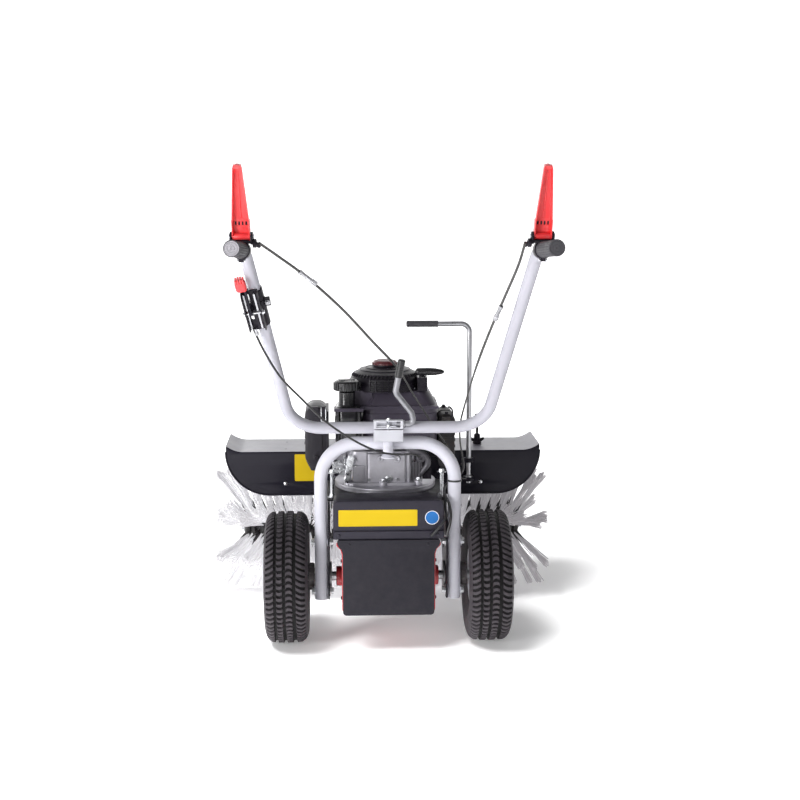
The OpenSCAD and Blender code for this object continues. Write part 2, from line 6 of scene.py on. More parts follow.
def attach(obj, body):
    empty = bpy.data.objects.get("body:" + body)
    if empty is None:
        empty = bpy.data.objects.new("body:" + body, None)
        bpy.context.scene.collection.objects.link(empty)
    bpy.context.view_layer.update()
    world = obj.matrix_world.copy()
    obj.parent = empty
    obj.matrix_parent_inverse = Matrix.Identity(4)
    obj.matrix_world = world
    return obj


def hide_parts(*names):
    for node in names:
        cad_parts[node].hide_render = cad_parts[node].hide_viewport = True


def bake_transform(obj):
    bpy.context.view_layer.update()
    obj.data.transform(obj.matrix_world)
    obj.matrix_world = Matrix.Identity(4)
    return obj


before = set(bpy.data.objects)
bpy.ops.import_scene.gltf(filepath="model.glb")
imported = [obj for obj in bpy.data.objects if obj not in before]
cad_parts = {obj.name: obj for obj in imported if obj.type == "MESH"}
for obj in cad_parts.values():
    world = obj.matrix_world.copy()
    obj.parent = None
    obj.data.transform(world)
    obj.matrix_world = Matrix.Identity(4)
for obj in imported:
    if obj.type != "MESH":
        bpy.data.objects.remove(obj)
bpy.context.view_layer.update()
OY = -62.98          # design Y to frame Y, mm
OZ = 15.0            # design Z to frame Z, mm
scene = bpy.context.scene
sin, cos, rad, pi = math.sin, math.cos, math.radians, math.pi
rng = np.random.default_rng(11)


# ------------------------------------------------------------------ camera and light
def D(x, y, z):
    return Vector((x / 1000.0, (y + OY) / 1000.0, (z + OZ) / 1000.0))


cam_data = bpy.data.cameras.new("camera")
cam_data.lens = 64.8
cam_data.sensor_width = 36.0
cam_data.clip_end = 60.0
cam = bpy.data.objects.new("camera", cam_data)
scene.collection.objects.link(cam)
cam.location = (-0.122, -3.728, 1.242)
cam.rotation_euler = (rad(90 - 9.33), 0.0, rad(-2.43))
scene.camera = cam

scene.view_settings.view_transform = "Standard"
scene.view_settings.look = "None"

world = bpy.data.worlds.new("studio")
scene.world = world
world.use_nodes = True
wt = world.node_tree
bgn = wt.nodes["Background"]
bgn.inputs["Color"].default_value = (1.0, 1.0, 1.0, 1.0)
# a room that is brighter to the left and behind the camera, dim overhead and to the right
tc = wt.nodes.new("ShaderNodeTexCoord")
sep = wt.nodes.new("ShaderNodeSeparateXYZ")
wt.links.new(tc.outputs["Generated"], sep.inputs[0])


def wmath(op, a, b):
    n = wt.nodes.new("ShaderNodeMath")
    n.operation = op
    for k, v in ((0, a), (1, b)):
        if isinstance(v, (int, float)):
            n.inputs[k].default_value = v
        else:
            wt.links.new(v, n.inputs[k])
    return n.outputs[0]


lum = wmath("ADD", 0.36, wmath("MULTIPLY", sep.outputs["X"], -0.25))
lum = wmath("ADD", lum, wmath("MULTIPLY", sep.outputs["Y"], -0.10))
lum = wmath("SUBTRACT", lum, wmath("MULTIPLY", wmath("MAXIMUM", sep.outputs["Z"], 0.0), 0.16))
wt.links.new(wmath("MAXIMUM", lum, 0.06), bgn.inputs["Strength"])


def area(name, loc, aim, size, power, color=(1, 1, 1)):
    d = bpy.data.lights.new(name, "AREA")
    d.shape = "RECTANGLE"
    d.size, d.size_y = size
    d.energy = power
    d.color = color
    o = bpy.data.objects.new(name, d)
    scene.collection.objects.link(o)
    o.location = loc
    o.rotation_euler = (Vector(aim) - Vector(loc)).to_track_quat("-Z", "Y").to_euler()
    return o


area("key_left", (-3.3, -3.4, 1.10), (0.0, 0.1, 0.36), (1.7, 1.8), 158)
floor_key = area("floor_key", (-1.8, -1.3, 4.5), (0.15, 0.4, 0.0), (2.2, 2.2), 430)
area("front_soft", (-1.6, 4.2, 1.7), (0.0, 0.0, 0.5), (2.0, 1.6), 18)
area("top_soft", (-0.8, -0.6, 4.0), (0, 0, 0.0), (2.6, 2.6), 5)
area("fill_right", (1.6, -4.4, 1.5), (0, 0, 0.5), (1.2, 1.6), 4)


# ------------------------------------------------------------------ materials
def new_mat(name):
    m = bpy.data.materials.new(name)
    m.use_nodes = True
    nt = m.node_tree
    b = nt.nodes["Principled BSDF"]
    return m, nt, b


def noise(nt, scale, detail=3.0, rough=0.55, vec=None, dist=0.0):
    n = nt.nodes.new("ShaderNodeTexNoise")
    n.inputs["Scale"].default_value = scale
    n.inputs["Detail"].default_value = detail
    n.inputs["Roughness"].default_value = rough
    n.inputs["Distortion"].default_value = dist
    if vec is None:
        vec = coords(nt)
    nt.links.new(vec, n.inputs["Vector"])
    return n


def coords(nt):
    for n in nt.nodes:
        if n.type == "TEX_COORD":
            return n.outputs["Object"]
    return nt.nodes.new("ShaderNodeTexCoord").outputs["Object"]


def stretch(nt, s):
    n = nt.nodes.new("ShaderNodeMapping")
    n.inputs["Scale"].default_value = s
    nt.links.new(coords(nt), n.inputs["Vector"])
    return n.outputs["Vector"]


def maprange(nt, src, a, b, lo, hi):
    n = nt.nodes.new("ShaderNodeMapRange")
    n.inputs["From Min"].default_value = a
    n.inputs["From Max"].default_value = b
    n.inputs["To Min"].default_value = lo
    n.inputs["To Max"].default_value = hi
    nt.links.new(src, n.inputs["Value"])
    return n.outputs["Result"]


def mixcol(nt, fac, a, b):
    n = nt.nodes.new("ShaderNodeMix")
    n.data_type = "RGBA"
    for s, v in (("A", a), ("B", b)):
        sock = [i for i in n.inputs if i.name == s and i.type == "RGBA"][0]
        if isinstance(v, tuple):
            sock.default_value = (*v, 1.0)
        else:
            nt.links.new(v, sock)
    f = [i for i in n.inputs if i.name == "Factor" and i.type == "VALUE"][0]
    if isinstance(fac, float):
        f.default_value = fac
    else:
        nt.links.new(fac, f)
    return [o for o in n.outputs if o.type == "RGBA"][0]


def math_node(nt, op, a, b=0.0):
    n = nt.nodes.new("ShaderNodeMath")
    n.operation = op
    for i, v in ((0, a), (1, b)):
        if isinstance(v, (int, float)):
            n.inputs[i].default_value = v
        else:
            nt.links.new(v, n.inputs[i])
    n.use_clamp = False
    return n.outputs[0]


def bump(nt, b, height, strength, dist, after=None):
    n = nt.nodes.new("ShaderNodeBump")
    n.inputs["Strength"].default_value = strength
    n.inputs["Distance"].default_value = dist
    nt.links.new(height, n.inputs["Height"])
    if after is not None:
        nt.links.new(after, n.inputs["Normal"])
    nt.links.new(n.outputs["Normal"], b.inputs["Normal"])
    return n.outputs["Normal"]


def tone(c, k):
    return tuple(max(0.0, min(1.0, x * k)) for x in c)


def surface(name, color, rough, metal=0.0, coat=0.0, spec=0.5, var=0.06, var_scale=7.0, rough_var=0.10, rough_scale=24.0,
            grain=0.0, grain_scale=900.0, grain_dist=0.0004, edge=None, edge_gain=1.0, dust=None, dust_top=0.2, dust_max=0.35,
            spots=None, streak=None):
    """A procedural finish: mottled colour, uneven gloss, fine grain, worn edges and dust near the ground."""
    m, nt, b = new_mat(name)
    b.inputs["Metallic"].default_value = metal
    b.inputs["Specular IOR Level"].default_value = spec
    if coat:
        b.inputs["Coat Weight"].default_value = coat
        b.inputs["Coat Roughness"].default_value = 0.12
    big = noise(nt, var_scale, 4.0, 0.6)
    col = mixcol(nt, maprange(nt, big.outputs["Fac"], 0.3, 0.7, 0.0, 1.0), tone(color, 1 - var), tone(color, 1 + var))
    vec = stretch(nt, streak) if streak else None
    fine = noise(nt, rough_scale, 5.0, 0.65, vec)
    r = maprange(nt, fine.outputs["Fac"], 0.3, 0.7, max(0.02, rough - rough_var), min(1.0, rough + rough_var))
    if spots:
        sp = noise(nt, spots[0], 2.0, 0.5)
        f = maprange(nt, sp.outputs["Fac"], spots[1], spots[1] + 0.06, 0.0, spots[2])
        col = mixcol(nt, f, col, spots[3])
    if edge is not None:
        geo = nt.nodes.new("ShaderNodeNewGeometry")
        e = maprange(nt, geo.outputs["Pointiness"], 0.52, 0.60, 0.0, 1.0)
        brk = noise(nt, 160.0, 4.0, 0.7)
        e = math_node(nt, "MULTIPLY", e, maprange(nt, brk.outputs["Fac"], 0.42, 0.62, 0.0, edge_gain))
        col = mixcol(nt, e, col, edge)
    if dust is not None:
        sep = nt.nodes.new("ShaderNodeSeparateXYZ")
        nt.links.new(coords(nt), sep.inputs[0])
        h = maprange(nt, sep.outputs["Z"], 0.0, dust_top, dust_max, 0.02)
        dn = noise(nt, 38.0, 5.0, 0.7)
        h = math_node(nt, "MULTIPLY", h, maprange(nt, dn.outputs["Fac"], 0.35, 0.68, 0.0, 1.0))
        col = mixcol(nt, h, col, dust)
    nt.links.new(col, b.inputs["Base Color"])
    nt.links.new(r, b.inputs["Roughness"])
    last = None
    if grain:
        g1 = noise(nt, grain_scale, 3.0, 0.6, stretch(nt, streak) if streak else None)
        last = bump(nt, b, g1.outputs["Fac"], grain, grain_dist)
        g2 = noise(nt, grain_scale * 0.17, 2.0, 0.5)
        bump(nt, b, g2.outputs["Fac"], grain * 0.7, grain_dist * 2.0, last)
    return m


GREY = (0.56, 0.555, 0.615)
M = {}
M["grey"] = surface("powder_coat_grey", GREY, 0.42, spec=0.16, var=0.03, rough_var=0.07, grain=0.10, grain_scale=1300, grain_dist=0.0003,
                    edge=(0.42, 0.42, 0.45), edge_gain=0.25, spots=(420, 0.735, 0.35, (0.40, 0.39, 0.41)))
# painted shade: the bar tube gets a darker copy of the frame's powder coat so that it reads shaded
M["greyh"] = surface("powder_coat_bar_painted_shade", (0.42, 0.415, 0.465), 0.42, spec=0.16, var=0.03, rough_var=0.07, grain=0.10, grain_scale=1300, grain_dist=0.0003,
                    edge=(0.42, 0.42, 0.45), edge_gain=0.25, spots=(420, 0.735, 0.35, (0.40, 0.39, 0.41)))
M["hood"] = surface("powder_coat_hood", (0.36, 0.35, 0.41), 0.40, coat=0.10, var=0.04, rough_var=0.08, grain=0.06, grain_scale=1200,
                    spots=(360, 0.73, 0.35, (0.38, 0.37, 0.39)))
M["rim"] = surface("wheel_paint", (0.64, 0.64, 0.70), 0.42, coat=0.08, var=0.05, grain=0.12, grain_scale=1100, dust=(0.42, 0.38, 0.33),
                   dust_top=0.26, dust_max=0.30, edge=(0.45, 0.45, 0.47), edge_gain=0.4)
M["black"] = surface("black_enamel", (0.0118, 0.0107, 0.0170), 0.36, spec=0.14, var=0.12, rough_var=0.08, grain=0.06, grain_scale=1400,
                     spots=(330, 0.72, 0.25, (0.05, 0.048, 0.052)))
M["guard"] = surface("black_guard", (0.0118, 0.0107, 0.0168), 0.44, spec=0.20, var=0.06, rough_var=0.06, grain=0.05, grain_scale=1100,
                     dust=(0.20, 0.18, 0.17), dust_top=0.30, dust_max=0.05)
# painted light: a lighter copy of the black guard finish, so the belt cover reads lit
M["cover"] = surface("black_cover_painted_light", (0.0238, 0.0217, 0.0325), 0.44, spec=0.20, var=0.06, rough_var=0.06, grain=0.05, grain_scale=1100,
                     dust=(0.20, 0.18, 0.17), dust_top=0.30, dust_max=0.05)
M["red"] = surface("red_enamel", (0.47, 0.016, 0.025), 0.36, coat=0.2, var=0.10, grain=0.10, grain_scale=1200, edge=(0.30, 0.12, 0.11),
                   edge_gain=0.4, dust=(0.22, 0.17, 0.15), dust_top=0.3, dust_max=0.2)
M["redplastic"] = surface("red_moulding", (0.78, 0.036, 0.042), 0.34, coat=0.05, var=0.05, rough_var=0.08, grain=0.06, grain_scale=1800,
                          edge=(0.80, 0.16, 0.15), edge_gain=0.25)
M["zinc"] = surface("zinc_plate", (0.62, 0.63, 0.655), 0.30, metal=1.0, var=0.07, var_scale=40, rough_var=0.10, rough_scale=120, grain=0.05,
                    grain_scale=1500, spots=(240, 0.66, 0.35, (0.46, 0.44, 0.40)))
M["rod"] = surface("zinc_rod", (0.43, 0.43, 0.45), 0.33, metal=1.0, var=0.08, var_scale=30, rough_var=0.10, rough_scale=160, grain=0.10,
                   grain_scale=500, streak=(1.0, 1.0, 0.12), spots=(200, 0.66, 0.3, (0.40, 0.38, 0.36)))
M["rodd"] = surface("dull_rod", (0.25, 0.25, 0.27), 0.40, metal=0.6, var=0.08, var_scale=30, rough_var=0.10, rough_scale=160, grain=0.10, grain_scale=900)
M["clamp"] = surface("clamp_paint", (0.499, 0.499, 0.546), 0.34, coat=0.12, var=0.04, grain=0.05, grain_scale=1300)
M["alu"] = surface("cast_aluminium", (0.52, 0.51, 0.555), 0.48, metal=0.72, var=0.08, var_scale=30, rough_var=0.10, rough_scale=90, grain=0.42,
                   grain_scale=1000, grain_dist=0.0006, spots=(150, 0.66, 0.4, (0.36, 0.35, 0.36)))
# painted shade: a dark copy of the cast aluminium for the right flank, which lies in shade
M["alu_painted_shade"] = surface("cast_aluminium_painted_shade", (0.13, 0.125, 0.14), 0.55, metal=0.5, var=0.12, var_scale=30, rough_var=0.10, rough_scale=90, grain=0.42, grain_scale=620)
M["turned"] = surface("turned_aluminium", (0.50, 0.49, 0.53), 0.42, metal=0.85, var=0.05, rough_var=0.06, rough_scale=300, grain=0.05,
                      grain_scale=700, streak=(1, 1, 6))
M["plastic"] = surface("engine_moulding", (0.0140, 0.0113, 0.0172), 0.34, spec=0.15, var=0.12, rough_var=0.07, grain=0.10, grain_scale=1500, grain_dist=0.0004,
                       edge=(0.06, 0.058, 0.064), edge_gain=0.3)
# painted light: a lighter, glossier copy of the engine moulding, so the blower shroud reads lit
M["shroudp"] = surface("shroud_moulding_painted_light", (0.060, 0.051, 0.073), 0.36, spec=0.30, var=0.12, rough_var=0.07, grain=0.10, grain_scale=1500, grain_dist=0.0004)
M["plasticg"] = surface("engine_gloss_moulding", (0.011, 0.0105, 0.0125), 0.20, var=0.15, rough_var=0.07, grain=0.06, grain_scale=1600,
                        edge=(0.09, 0.09, 0.095), edge_gain=0.3)
M["boxplastic"] = surface("filter_moulding", (0.021, 0.019, 0.0245), 0.42, spec=0.20, var=0.10, rough_var=0.08, grain=0.10, grain_scale=1300)
# painted shade: near black fill standing in for the shade inside the dome's slots and behind its grille
M["dark"] = surface("painted_shade_recess", (0.008, 0.008, 0.009), 0.75, var=0.2, grain=0.1)
M["exhaust"] = surface("exhaust_enamel", (0.024, 0.022, 0.0235), 0.55, spec=0.25, var=0.25, var_scale=18, rough_var=0.15, grain=0.30, grain_scale=700,
                       spots=(90, 0.60, 0.45, (0.05, 0.032, 0.024)), edge=(0.08, 0.07, 0.065), edge_gain=0.5)
M["drum"] = surface("drum_paint", (0.075, 0.066, 0.068), 0.50, var=0.15, var_scale=18, rough_var=0.12, grain=0.2, grain_scale=800, edge=(0.16, 0.14, 0.13), edge_gain=0.6)
M["tyre"] = surface("tyre_rubber", (0.045, 0.0390, 0.0465), 0.66, var=0.16, rough_var=0.12, rough_scale=60, grain=0.35, grain_scale=900, grain_dist=0.0005,
                    dust=(0.20, 0.175, 0.16), dust_top=0.40, dust_max=0.12, edge=(0.075, 0.068, 0.068), edge_gain=0.7, spec=0.25)
# painted shade: the tyre's base colour is mixed towards near black by the tread attribute, darkening the groove floors
# as shade would
TYRE = M["tyre"].node_tree
tb = TYRE.nodes["Principled BSDF"]
tcol = tb.inputs["Base Color"].links[0].from_socket
tat = TYRE.nodes.new("ShaderNodeAttribute")
tat.attribute_name = "strand"
tsep = TYRE.nodes.new("ShaderNodeSeparateColor")
TYRE.links.new(tat.outputs["Color"], tsep.inputs[0])
TYRE.links.new(mixcol(TYRE, tsep.outputs["Red"], (0.0035, 0.003, 0.0035), tcol), tb.inputs["Base Color"])
M["rubber"] = surface("grip_rubber", (0.052, 0.050, 0.058), 0.62, var=0.12, rough_var=0.10, grain=0.30, grain_scale=1500, edge=(0.10, 0.10, 0.105), edge_gain=0.4)
# painted highlight: a light grey for the left grip's end face, standing in for the light it catches
M["grip_end_painted_highlight"] = surface("grip_end_face_painted_highlight", (0.30, 0.29, 0.315), 0.60, var=0.10, rough_var=0.10, grain=0.25, grain_scale=1400)
M["capred"] = surface("dull_red_moulding", (0.096, 0.0099, 0.0157), 0.40, var=0.10, rough_var=0.08, grain=0.06, grain_scale=1500)
M["adj"] = surface("adjuster_plate", (0.44, 0.44, 0.465), 0.42, metal=0.5, var=0.08, var_scale=30, rough_var=0.10, rough_scale=160, grain=0.10, grain_scale=900)
M["cableg"] = surface("grey_cable_jacket", (0.042, 0.041, 0.040), 0.30, var=0.12, rough_var=0.08, grain=0.05, grain_scale=1400)
M["cable"] = surface("cable_jacket", (0.016, 0.0155, 0.017), 0.36, var=0.15, rough_var=0.08, grain=0.08, grain_scale=1400)
M["core"] = surface("brush_core", (0.018, 0.0175, 0.019), 0.52, var=0.2, grain=0.2, grain_scale=900, dust=(0.30, 0.28, 0.26), dust_top=0.4, dust_max=0.25)
M["iron"] = surface("machined_iron", (0.30, 0.30, 0.31), 0.42, metal=0.9, var=0.12, rough_var=0.1, grain=0.2, grain_scale=700,
                    spots=(120, 0.62, 0.4, (0.20, 0.13, 0.09)))
M["belt"] = surface("belt_rubber", (0.016, 0.016, 0.016), 0.7, var=0.2, grain=0.35, grain_scale=700)
M["bronze"] = surface("bronze_bush", (0.52, 0.36, 0.15), 0.36, metal=1.0, var=0.1, grain=0.1, grain_scale=900)
M["yellow"] = surface("yellow_film", (0.58, 0.405, 0.006), 0.50, spec=0.18, var=0.012, var_scale=4, rough_var=0.02, grain=0.02, grain_scale=1500)
M["blue"] = surface("blue_film", (0.018, 0.135, 0.40), 0.50, spec=0.20, var=0.012, var_scale=4, rough_var=0.02, grain=0.02, grain_scale=1500)
M["white"] = surface("white_film", (0.80, 0.80, 0.82), 0.30, coat=0.3, var=0.02, rough_var=0.05, grain=0.05, grain_scale=300)
M["steelwire"] = surface("cable_wire", (0.50, 0.50, 0.52), 0.32, metal=1.0, var=0.1, grain=0.3, grain_scale=1200, streak=(6, 6, 1))
M["rope"] = surface("starter_rope", (0.42, 0.41, 0.40), 0.75, var=0.15, var_scale=200, grain=0.5, grain_scale=1800, grain_dist=0.0006)


def bristle_mat():
    m, nt, b = new_mat("bristle_nylon")
    at = nt.nodes.new("ShaderNodeAttribute")
    at.attribute_name = "strand"
    sep = nt.nodes.new("ShaderNodeSeparateColor")
    nt.links.new(at.outputs["Color"], sep.inputs[0])
    # the red channel runs from dark grey to white: a random tone per bundle times a painted shade that darkens the
    # bundles at the right end
    base = mixcol(nt, sep.outputs["Red"], (0.33, 0.305, 0.325), (0.965, 0.963, 0.975))
    tip = maprange(nt, sep.outputs["Green"], 0.80, 1.0, 0.0, 0.22)
    n = noise(nt, 60.0, 4.0, 0.7)
    tip = math_node(nt, "MULTIPLY", tip, maprange(nt, n.outputs["Fac"], 0.4, 0.65, 0.0, 1.0))
    col = mixcol(nt, tip, base, (0.50, 0.46, 0.44))
    nt.links.new(col, b.inputs["Base Color"])
    n2 = noise(nt, 300.0, 3.0, 0.6)
    nt.links.new(maprange(nt, n2.outputs["Fac"], 0.3, 0.7, 0.30, 0.52), b.inputs["Roughness"])
    b.inputs["Subsurface Weight"].default_value = 0.5
    b.inputs["Subsurface Radius"].default_value = (0.008, 0.008, 0.008)
    b.inputs["Subsurface Scale"].default_value = 0.5
    # painted light: a faint white emission makes the bristles glow a little, brightening them beyond what the lamps
    # give
    b.inputs["Emission Color"].default_value = (0.97, 0.96, 1.0, 1.0)
    b.inputs["Emission Strength"].default_value = 0.12
    bump(nt, b, noise(nt, 900.0, 2.0, 0.5).outputs["Fac"], 0.15, 0.0003)
    return m


M["bristle"] = bristle_mat()


# ------------------------------------------------------------------ geometry tools (design millimetres)
class Geo:
    def __init__(self):
        self.v, self.f, self.m, self.n = [], [], [], 0
        self.attr = []

    def add(self, verts, faces, mat=0):
        verts = np.asarray(verts, float).reshape(-1, 3)
        base = self.n
        self.v.append(verts)
        self.n += len(verts)
        for q in faces:
            self.f.append([base + int(i) for i in q])
            self.m.append(mat)
        return self

    def mirrored(self, start_v=0, start_f=0):
        """adds the mirror image in X of everything after the given marks"""
        v = np.vstack(self.v)[start_v:].copy()
        v[:, 0] *= -1
        fs = [[i - start_v for i in reversed(q)] for q in self.f[start_f:]]
        ms = self.m[start_f:]
        base = self.n
        self.v.append(v)
        self.n += len(v)
        for q, k in zip(fs, list(ms)):
            self.f.append([base + i for i in q])
            self.m.append(k)
        return self


def piece(name, g, mats, body, rep=(), smooth=32.0, fix=True, blend=None, attr=None):
    me = bpy.data.meshes.new(name)
    v = np.vstack(g.v) / 1000.0
    v[:, 1] += OY / 1000.0
    v[:, 2] += OZ / 1000.0
    me.from_pydata(v.tolist(), [], g.f)
    for k in mats:
        me.materials.append(M[k])
    me.polygons.foreach_set("material_index", np.array(g.m, np.int32))
    me.update()
    if fix:
        bm = bmesh.new()
        bm.from_mesh(me)
        bmesh.ops.recalc_face_normals(bm, faces=bm.faces)
        bm.to_mesh(me)
        bm.free()
    if attr is not None:
        a = me.color_attributes.new("strand", "FLOAT_COLOR", "POINT")
        a.data.foreach_set("color", np.asarray(attr, np.float32).ravel())
    me.polygons.foreach_set("use_smooth", np.ones(len(me.polygons), bool))
    me.set_sharp_from_angle(angle=rad(smooth))
    me.update()
    o = bpy.data.objects.new(name, me)
    scene.collection.objects.link(o)
    if blend:
        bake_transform(o)
    else:
        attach(o, body)
    if rep:
        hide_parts(*rep)
    return o


def bm_lists(bm):
    bm.verts.ensure_lookup_table()
    bm.verts.index_update()
    v = [tuple(x.co) for x in bm.verts]
    f = [[w.index for w in q.verts] for q in bm.faces]
    return v, f


def bevel_bm(bm, w, seg=2, angle=25.0):
    if w <= 0:
        return
    edges = [e for e in bm.edges if len(e.link_faces) == 2 and e.calc_face_angle(0.0) > rad(angle)]
    bmesh.ops.bevel(bm, geom=edges, offset=w, offset_type="OFFSET", segments=seg, profile=0.5, affect="EDGES", clamp_overlap=True)


def place(verts, mat4):
    v = np.asarray(verts, float)
    a = np.array(mat4, float)
    return v @ a[:3, :3].T + a[:3, 3]


ID = Matrix.Identity(4)


def rbox(g, a, b, w=2.0, seg=2, mat=0, T=ID, taper=None):
    """box between two corners with rounded edges; taper scales the top face about its middle"""
    a, b = np.minimum(a, b), np.maximum(a, b)
    bm = bmesh.new()
    vs = []
    c = (np.array(a) + np.array(b)) / 2
    for z in (a[2], b[2]):
        for x, y in ((a[0], a[1]), (b[0], a[1]), (b[0], b[1]), (a[0], b[1])):
            if taper and z == b[2]:
                x, y = c[0] + (x - c[0]) * taper[0], c[1] + (y - c[1]) * taper[1]
            vs.append(bm.verts.new((x, y, z)))
    for q in ((3, 2, 1, 0), (4, 5, 6, 7), (0, 1, 5, 4), (1, 2, 6, 5), (2, 3, 7, 6), (3, 0, 4, 7)):
        bm.faces.new([vs[i] for i in q])
    bevel_bm(bm, w, seg)
    v, f = bm_lists(bm)
    bm.free()
    g.add(place(v, T), f, mat)


def fillet(pts, r, k=5, closed=True):
    """rounds the corners of a flat polygon; r is one radius or one for each point"""
    n = len(pts)
    rr = [r] * n if isinstance(r, (int, float)) else list(r)
    out = []
    for i in range(n):
        p = np.array(pts[i], float)
        if (not closed and i in (0, n - 1)) or rr[i] <= 0:
            out.append(tuple(p))
            continue
        a, b = np.array(pts[i - 1], float), np.array(pts[(i + 1) % n], float)
        u, w = a - p, b - p
        lu, lw = np.linalg.norm(u), np.linalg.norm(w)
        if lu < 1e-9 or lw < 1e-9:
            out.append(tuple(p))
            continue
        u, w = u / lu, w / lw
        ang = math.acos(max(-1, min(1, float(u @ w))))
        if ang > pi - 0.02 or ang < 0.02:
            out.append(tuple(p))
            continue
        d = min(rr[i] / math.tan(ang / 2), lu * 0.49, lw * 0.49)
        rad_ = d * math.tan(ang / 2)
        c = p + (u + w) / np.linalg.norm(u + w) * (rad_ / sin(ang / 2))
        s, e = p + u * d - c, p + w * d - c
        tot = math.acos(max(-1, min(1, float(s @ e) / (np.linalg.norm(s) * np.linalg.norm(e)))))
        for j in range(k + 1):
            t = j / k
            if tot < 1e-6:
                q = s
            else:
                q = (sin((1 - t) * tot) * s + sin(t * tot) * e) / sin(tot)
            out.append(tuple(c + q))
    return out


def rrect(x0, y0, x1, y1, r, k=6):
    return fillet([(x0, y0), (x1, y0), (x1, y1), (x0, y1)], r, k)


def circ(cx, cy, r, n=32, a0=0.0):
    return [(cx + r * cos(2 * pi * i / n + a0), cy + r * sin(2 * pi * i / n + a0)) for i in range(n)]


def axes(kind, at=0.0):
    """maps (u, v, h): 'x' u=Y v=Z h=X, 'y' u=X v=Z h=-Y, 'z' u=X v=Y h=Z"""
    if kind == "x":
        return lambda u, v, h: (h, u, v)
    if kind == "y":
        return lambda u, v, h: (u, h, v)
    return lambda u, v, h: (u, v, h)


def plate(g, loops, h0, h1, kind="z", w=1.0, seg=2, mat=0, T=None):
    """flat plate with holes and rounded edges"""
    cu = bpy.data.curves.new("tmp", "CURVE")
    cu.dimensions = "2D"
    cu.fill_mode = "BOTH"
    t = abs(h1 - h0)
    w = min(w, t * 0.45)
    cu.extrude = max(t / 2 - w, 1e-4)
    cu.bevel_depth = w
    cu.bevel_resolution = max(0, seg - 1)
    cu.offset = -w
    for lp in loops:
        s = cu.splines.new("POLY")
        s.points.add(len(lp) - 1)
        s.points.foreach_set("co", np.array([(p[0], p[1], 0.0, 1.0) for p in lp], np.float32).ravel())
        s.use_cyclic_u = True
    o = bpy.data.objects.new("tmp", cu)
    scene.collection.objects.link(o)
    bpy.context.view_layer.update()
    me = bpy.data.meshes.new_from_object(o.evaluated_get(bpy.context.evaluated_depsgraph_get()))
    bm = bmesh.new()
    bm.from_mesh(me)
    bmesh.ops.remove_doubles(bm, verts=bm.verts, dist=0.002)
    v, f = bm_lists(bm)
    bm.free()
    bpy.data.meshes.remove(me)
    bpy.data.objects.remove(o)
    bpy.data.curves.remove(cu)
    fm = axes(kind)
    mid = (h0 + h1) / 2
    v = [fm(p[0], p[1], p[2] + mid) for p in v]
    if T is not None:
        v = place(v, T)
    g.add(v, f, mat)


def frame_to(o, d, up=None):
    """4x4 whose Z runs along d and whose origin is o"""
    d = Vector(d).normalized()
    ref = Vector(up) if up is not None else (Vector((0, 0, 1)) if abs(d.z) < 0.95 else Vector((1, 0, 0)))
    x = ref.cross(d).normalized()
    y = d.cross(x)
    m = Matrix.Identity(4)
    for i in range(3):
        m[i][0], m[i][1], m[i][2], m[i][3] = x[i], y[i], d[i], o[i]
    return m


def lathe(g, prof, o=(0, 0, 0), d=(0, 0, 1), n=48, mat=0, T=None, closed=False):
    """turns (radius, height) points about the axis d through o"""
    m = T if T is not None else frame_to(o, d)
    rows = []
    v = []
    for r, h in prof:
        if r < 1e-6:
            rows.append([len(v)])
            v.append((0, 0, h))
        else:
            rows.append(list(range(len(v), len(v) + n)))
            v += [(r * cos(2 * pi * i / n), r * sin(2 * pi * i / n), h) for i in range(n)]
    f = []
    pairs = list(zip(rows, rows[1:])) + ([(rows[-1], rows[0])] if closed else [])
    for a, b in pairs:
        for i in range(n):
            j = (i + 1) % n
            if len(a) == 1 and len(b) == 1:
                continue
            if len(a) == 1:
                f.append((a[0], b[j], b[i]))
            elif len(b) == 1:
                f.append((a[i], a[j], b[0]))
            else:
                f.append((a[i], a[j], b[j], b[i]))
    g.add(place(v, m), f, mat)


def path_bent(pts, R, k=10):
    """points along a bent line, with an arc of radius R at each inner point"""
    P = [np.array(p, float) for p in pts]
    out = [P[0]]
    for i in range(1, len(P) - 1):
        d0 = (P[i] - P[i - 1]) / np.linalg.norm(P[i] - P[i - 1])
        d1 = (P[i + 1] - P[i]) / np.linalg.norm(P[i + 1] - P[i])
        th = math.acos(max(-1, min(1, float(d0 @ d1))))
        if th < 1e-4 or R[i] <= 0:
            out.append(P[i])
            continue
        nrm = (d1 - d0) / np.linalg.norm(d1 - d0)
        c = P[i] + nrm * (R[i] / cos(th / 2))
        e1 = P[i] - d0 * (R[i] * math.tan(th / 2)) - c
        e1 /= np.linalg.norm(e1)
        for j in range(k + 1):
            a = th * j / k
            out.append(c + R[i] * (cos(a) * e1 + sin(a) * d0))
    out.append(P[-1])
    return out


def catmull(p, k=4):
    p = [np.array(q, float) for q in p]
    n = len(p)
    out = []
    for i in range(n - 1):
        a, b, c, d = p[max(0, i - 1)], p[i], p[i + 1], p[min(n - 1, i + 2)]
        for j in range(k):
            t = j / k
            out.append(0.5 * (2 * b + (c - a) * t + (2 * a - 5 * b + 4 * c - d) * t * t + (3 * b - a - 3 * c + d) * t ** 3))
    out.append(p[-1])
    return out


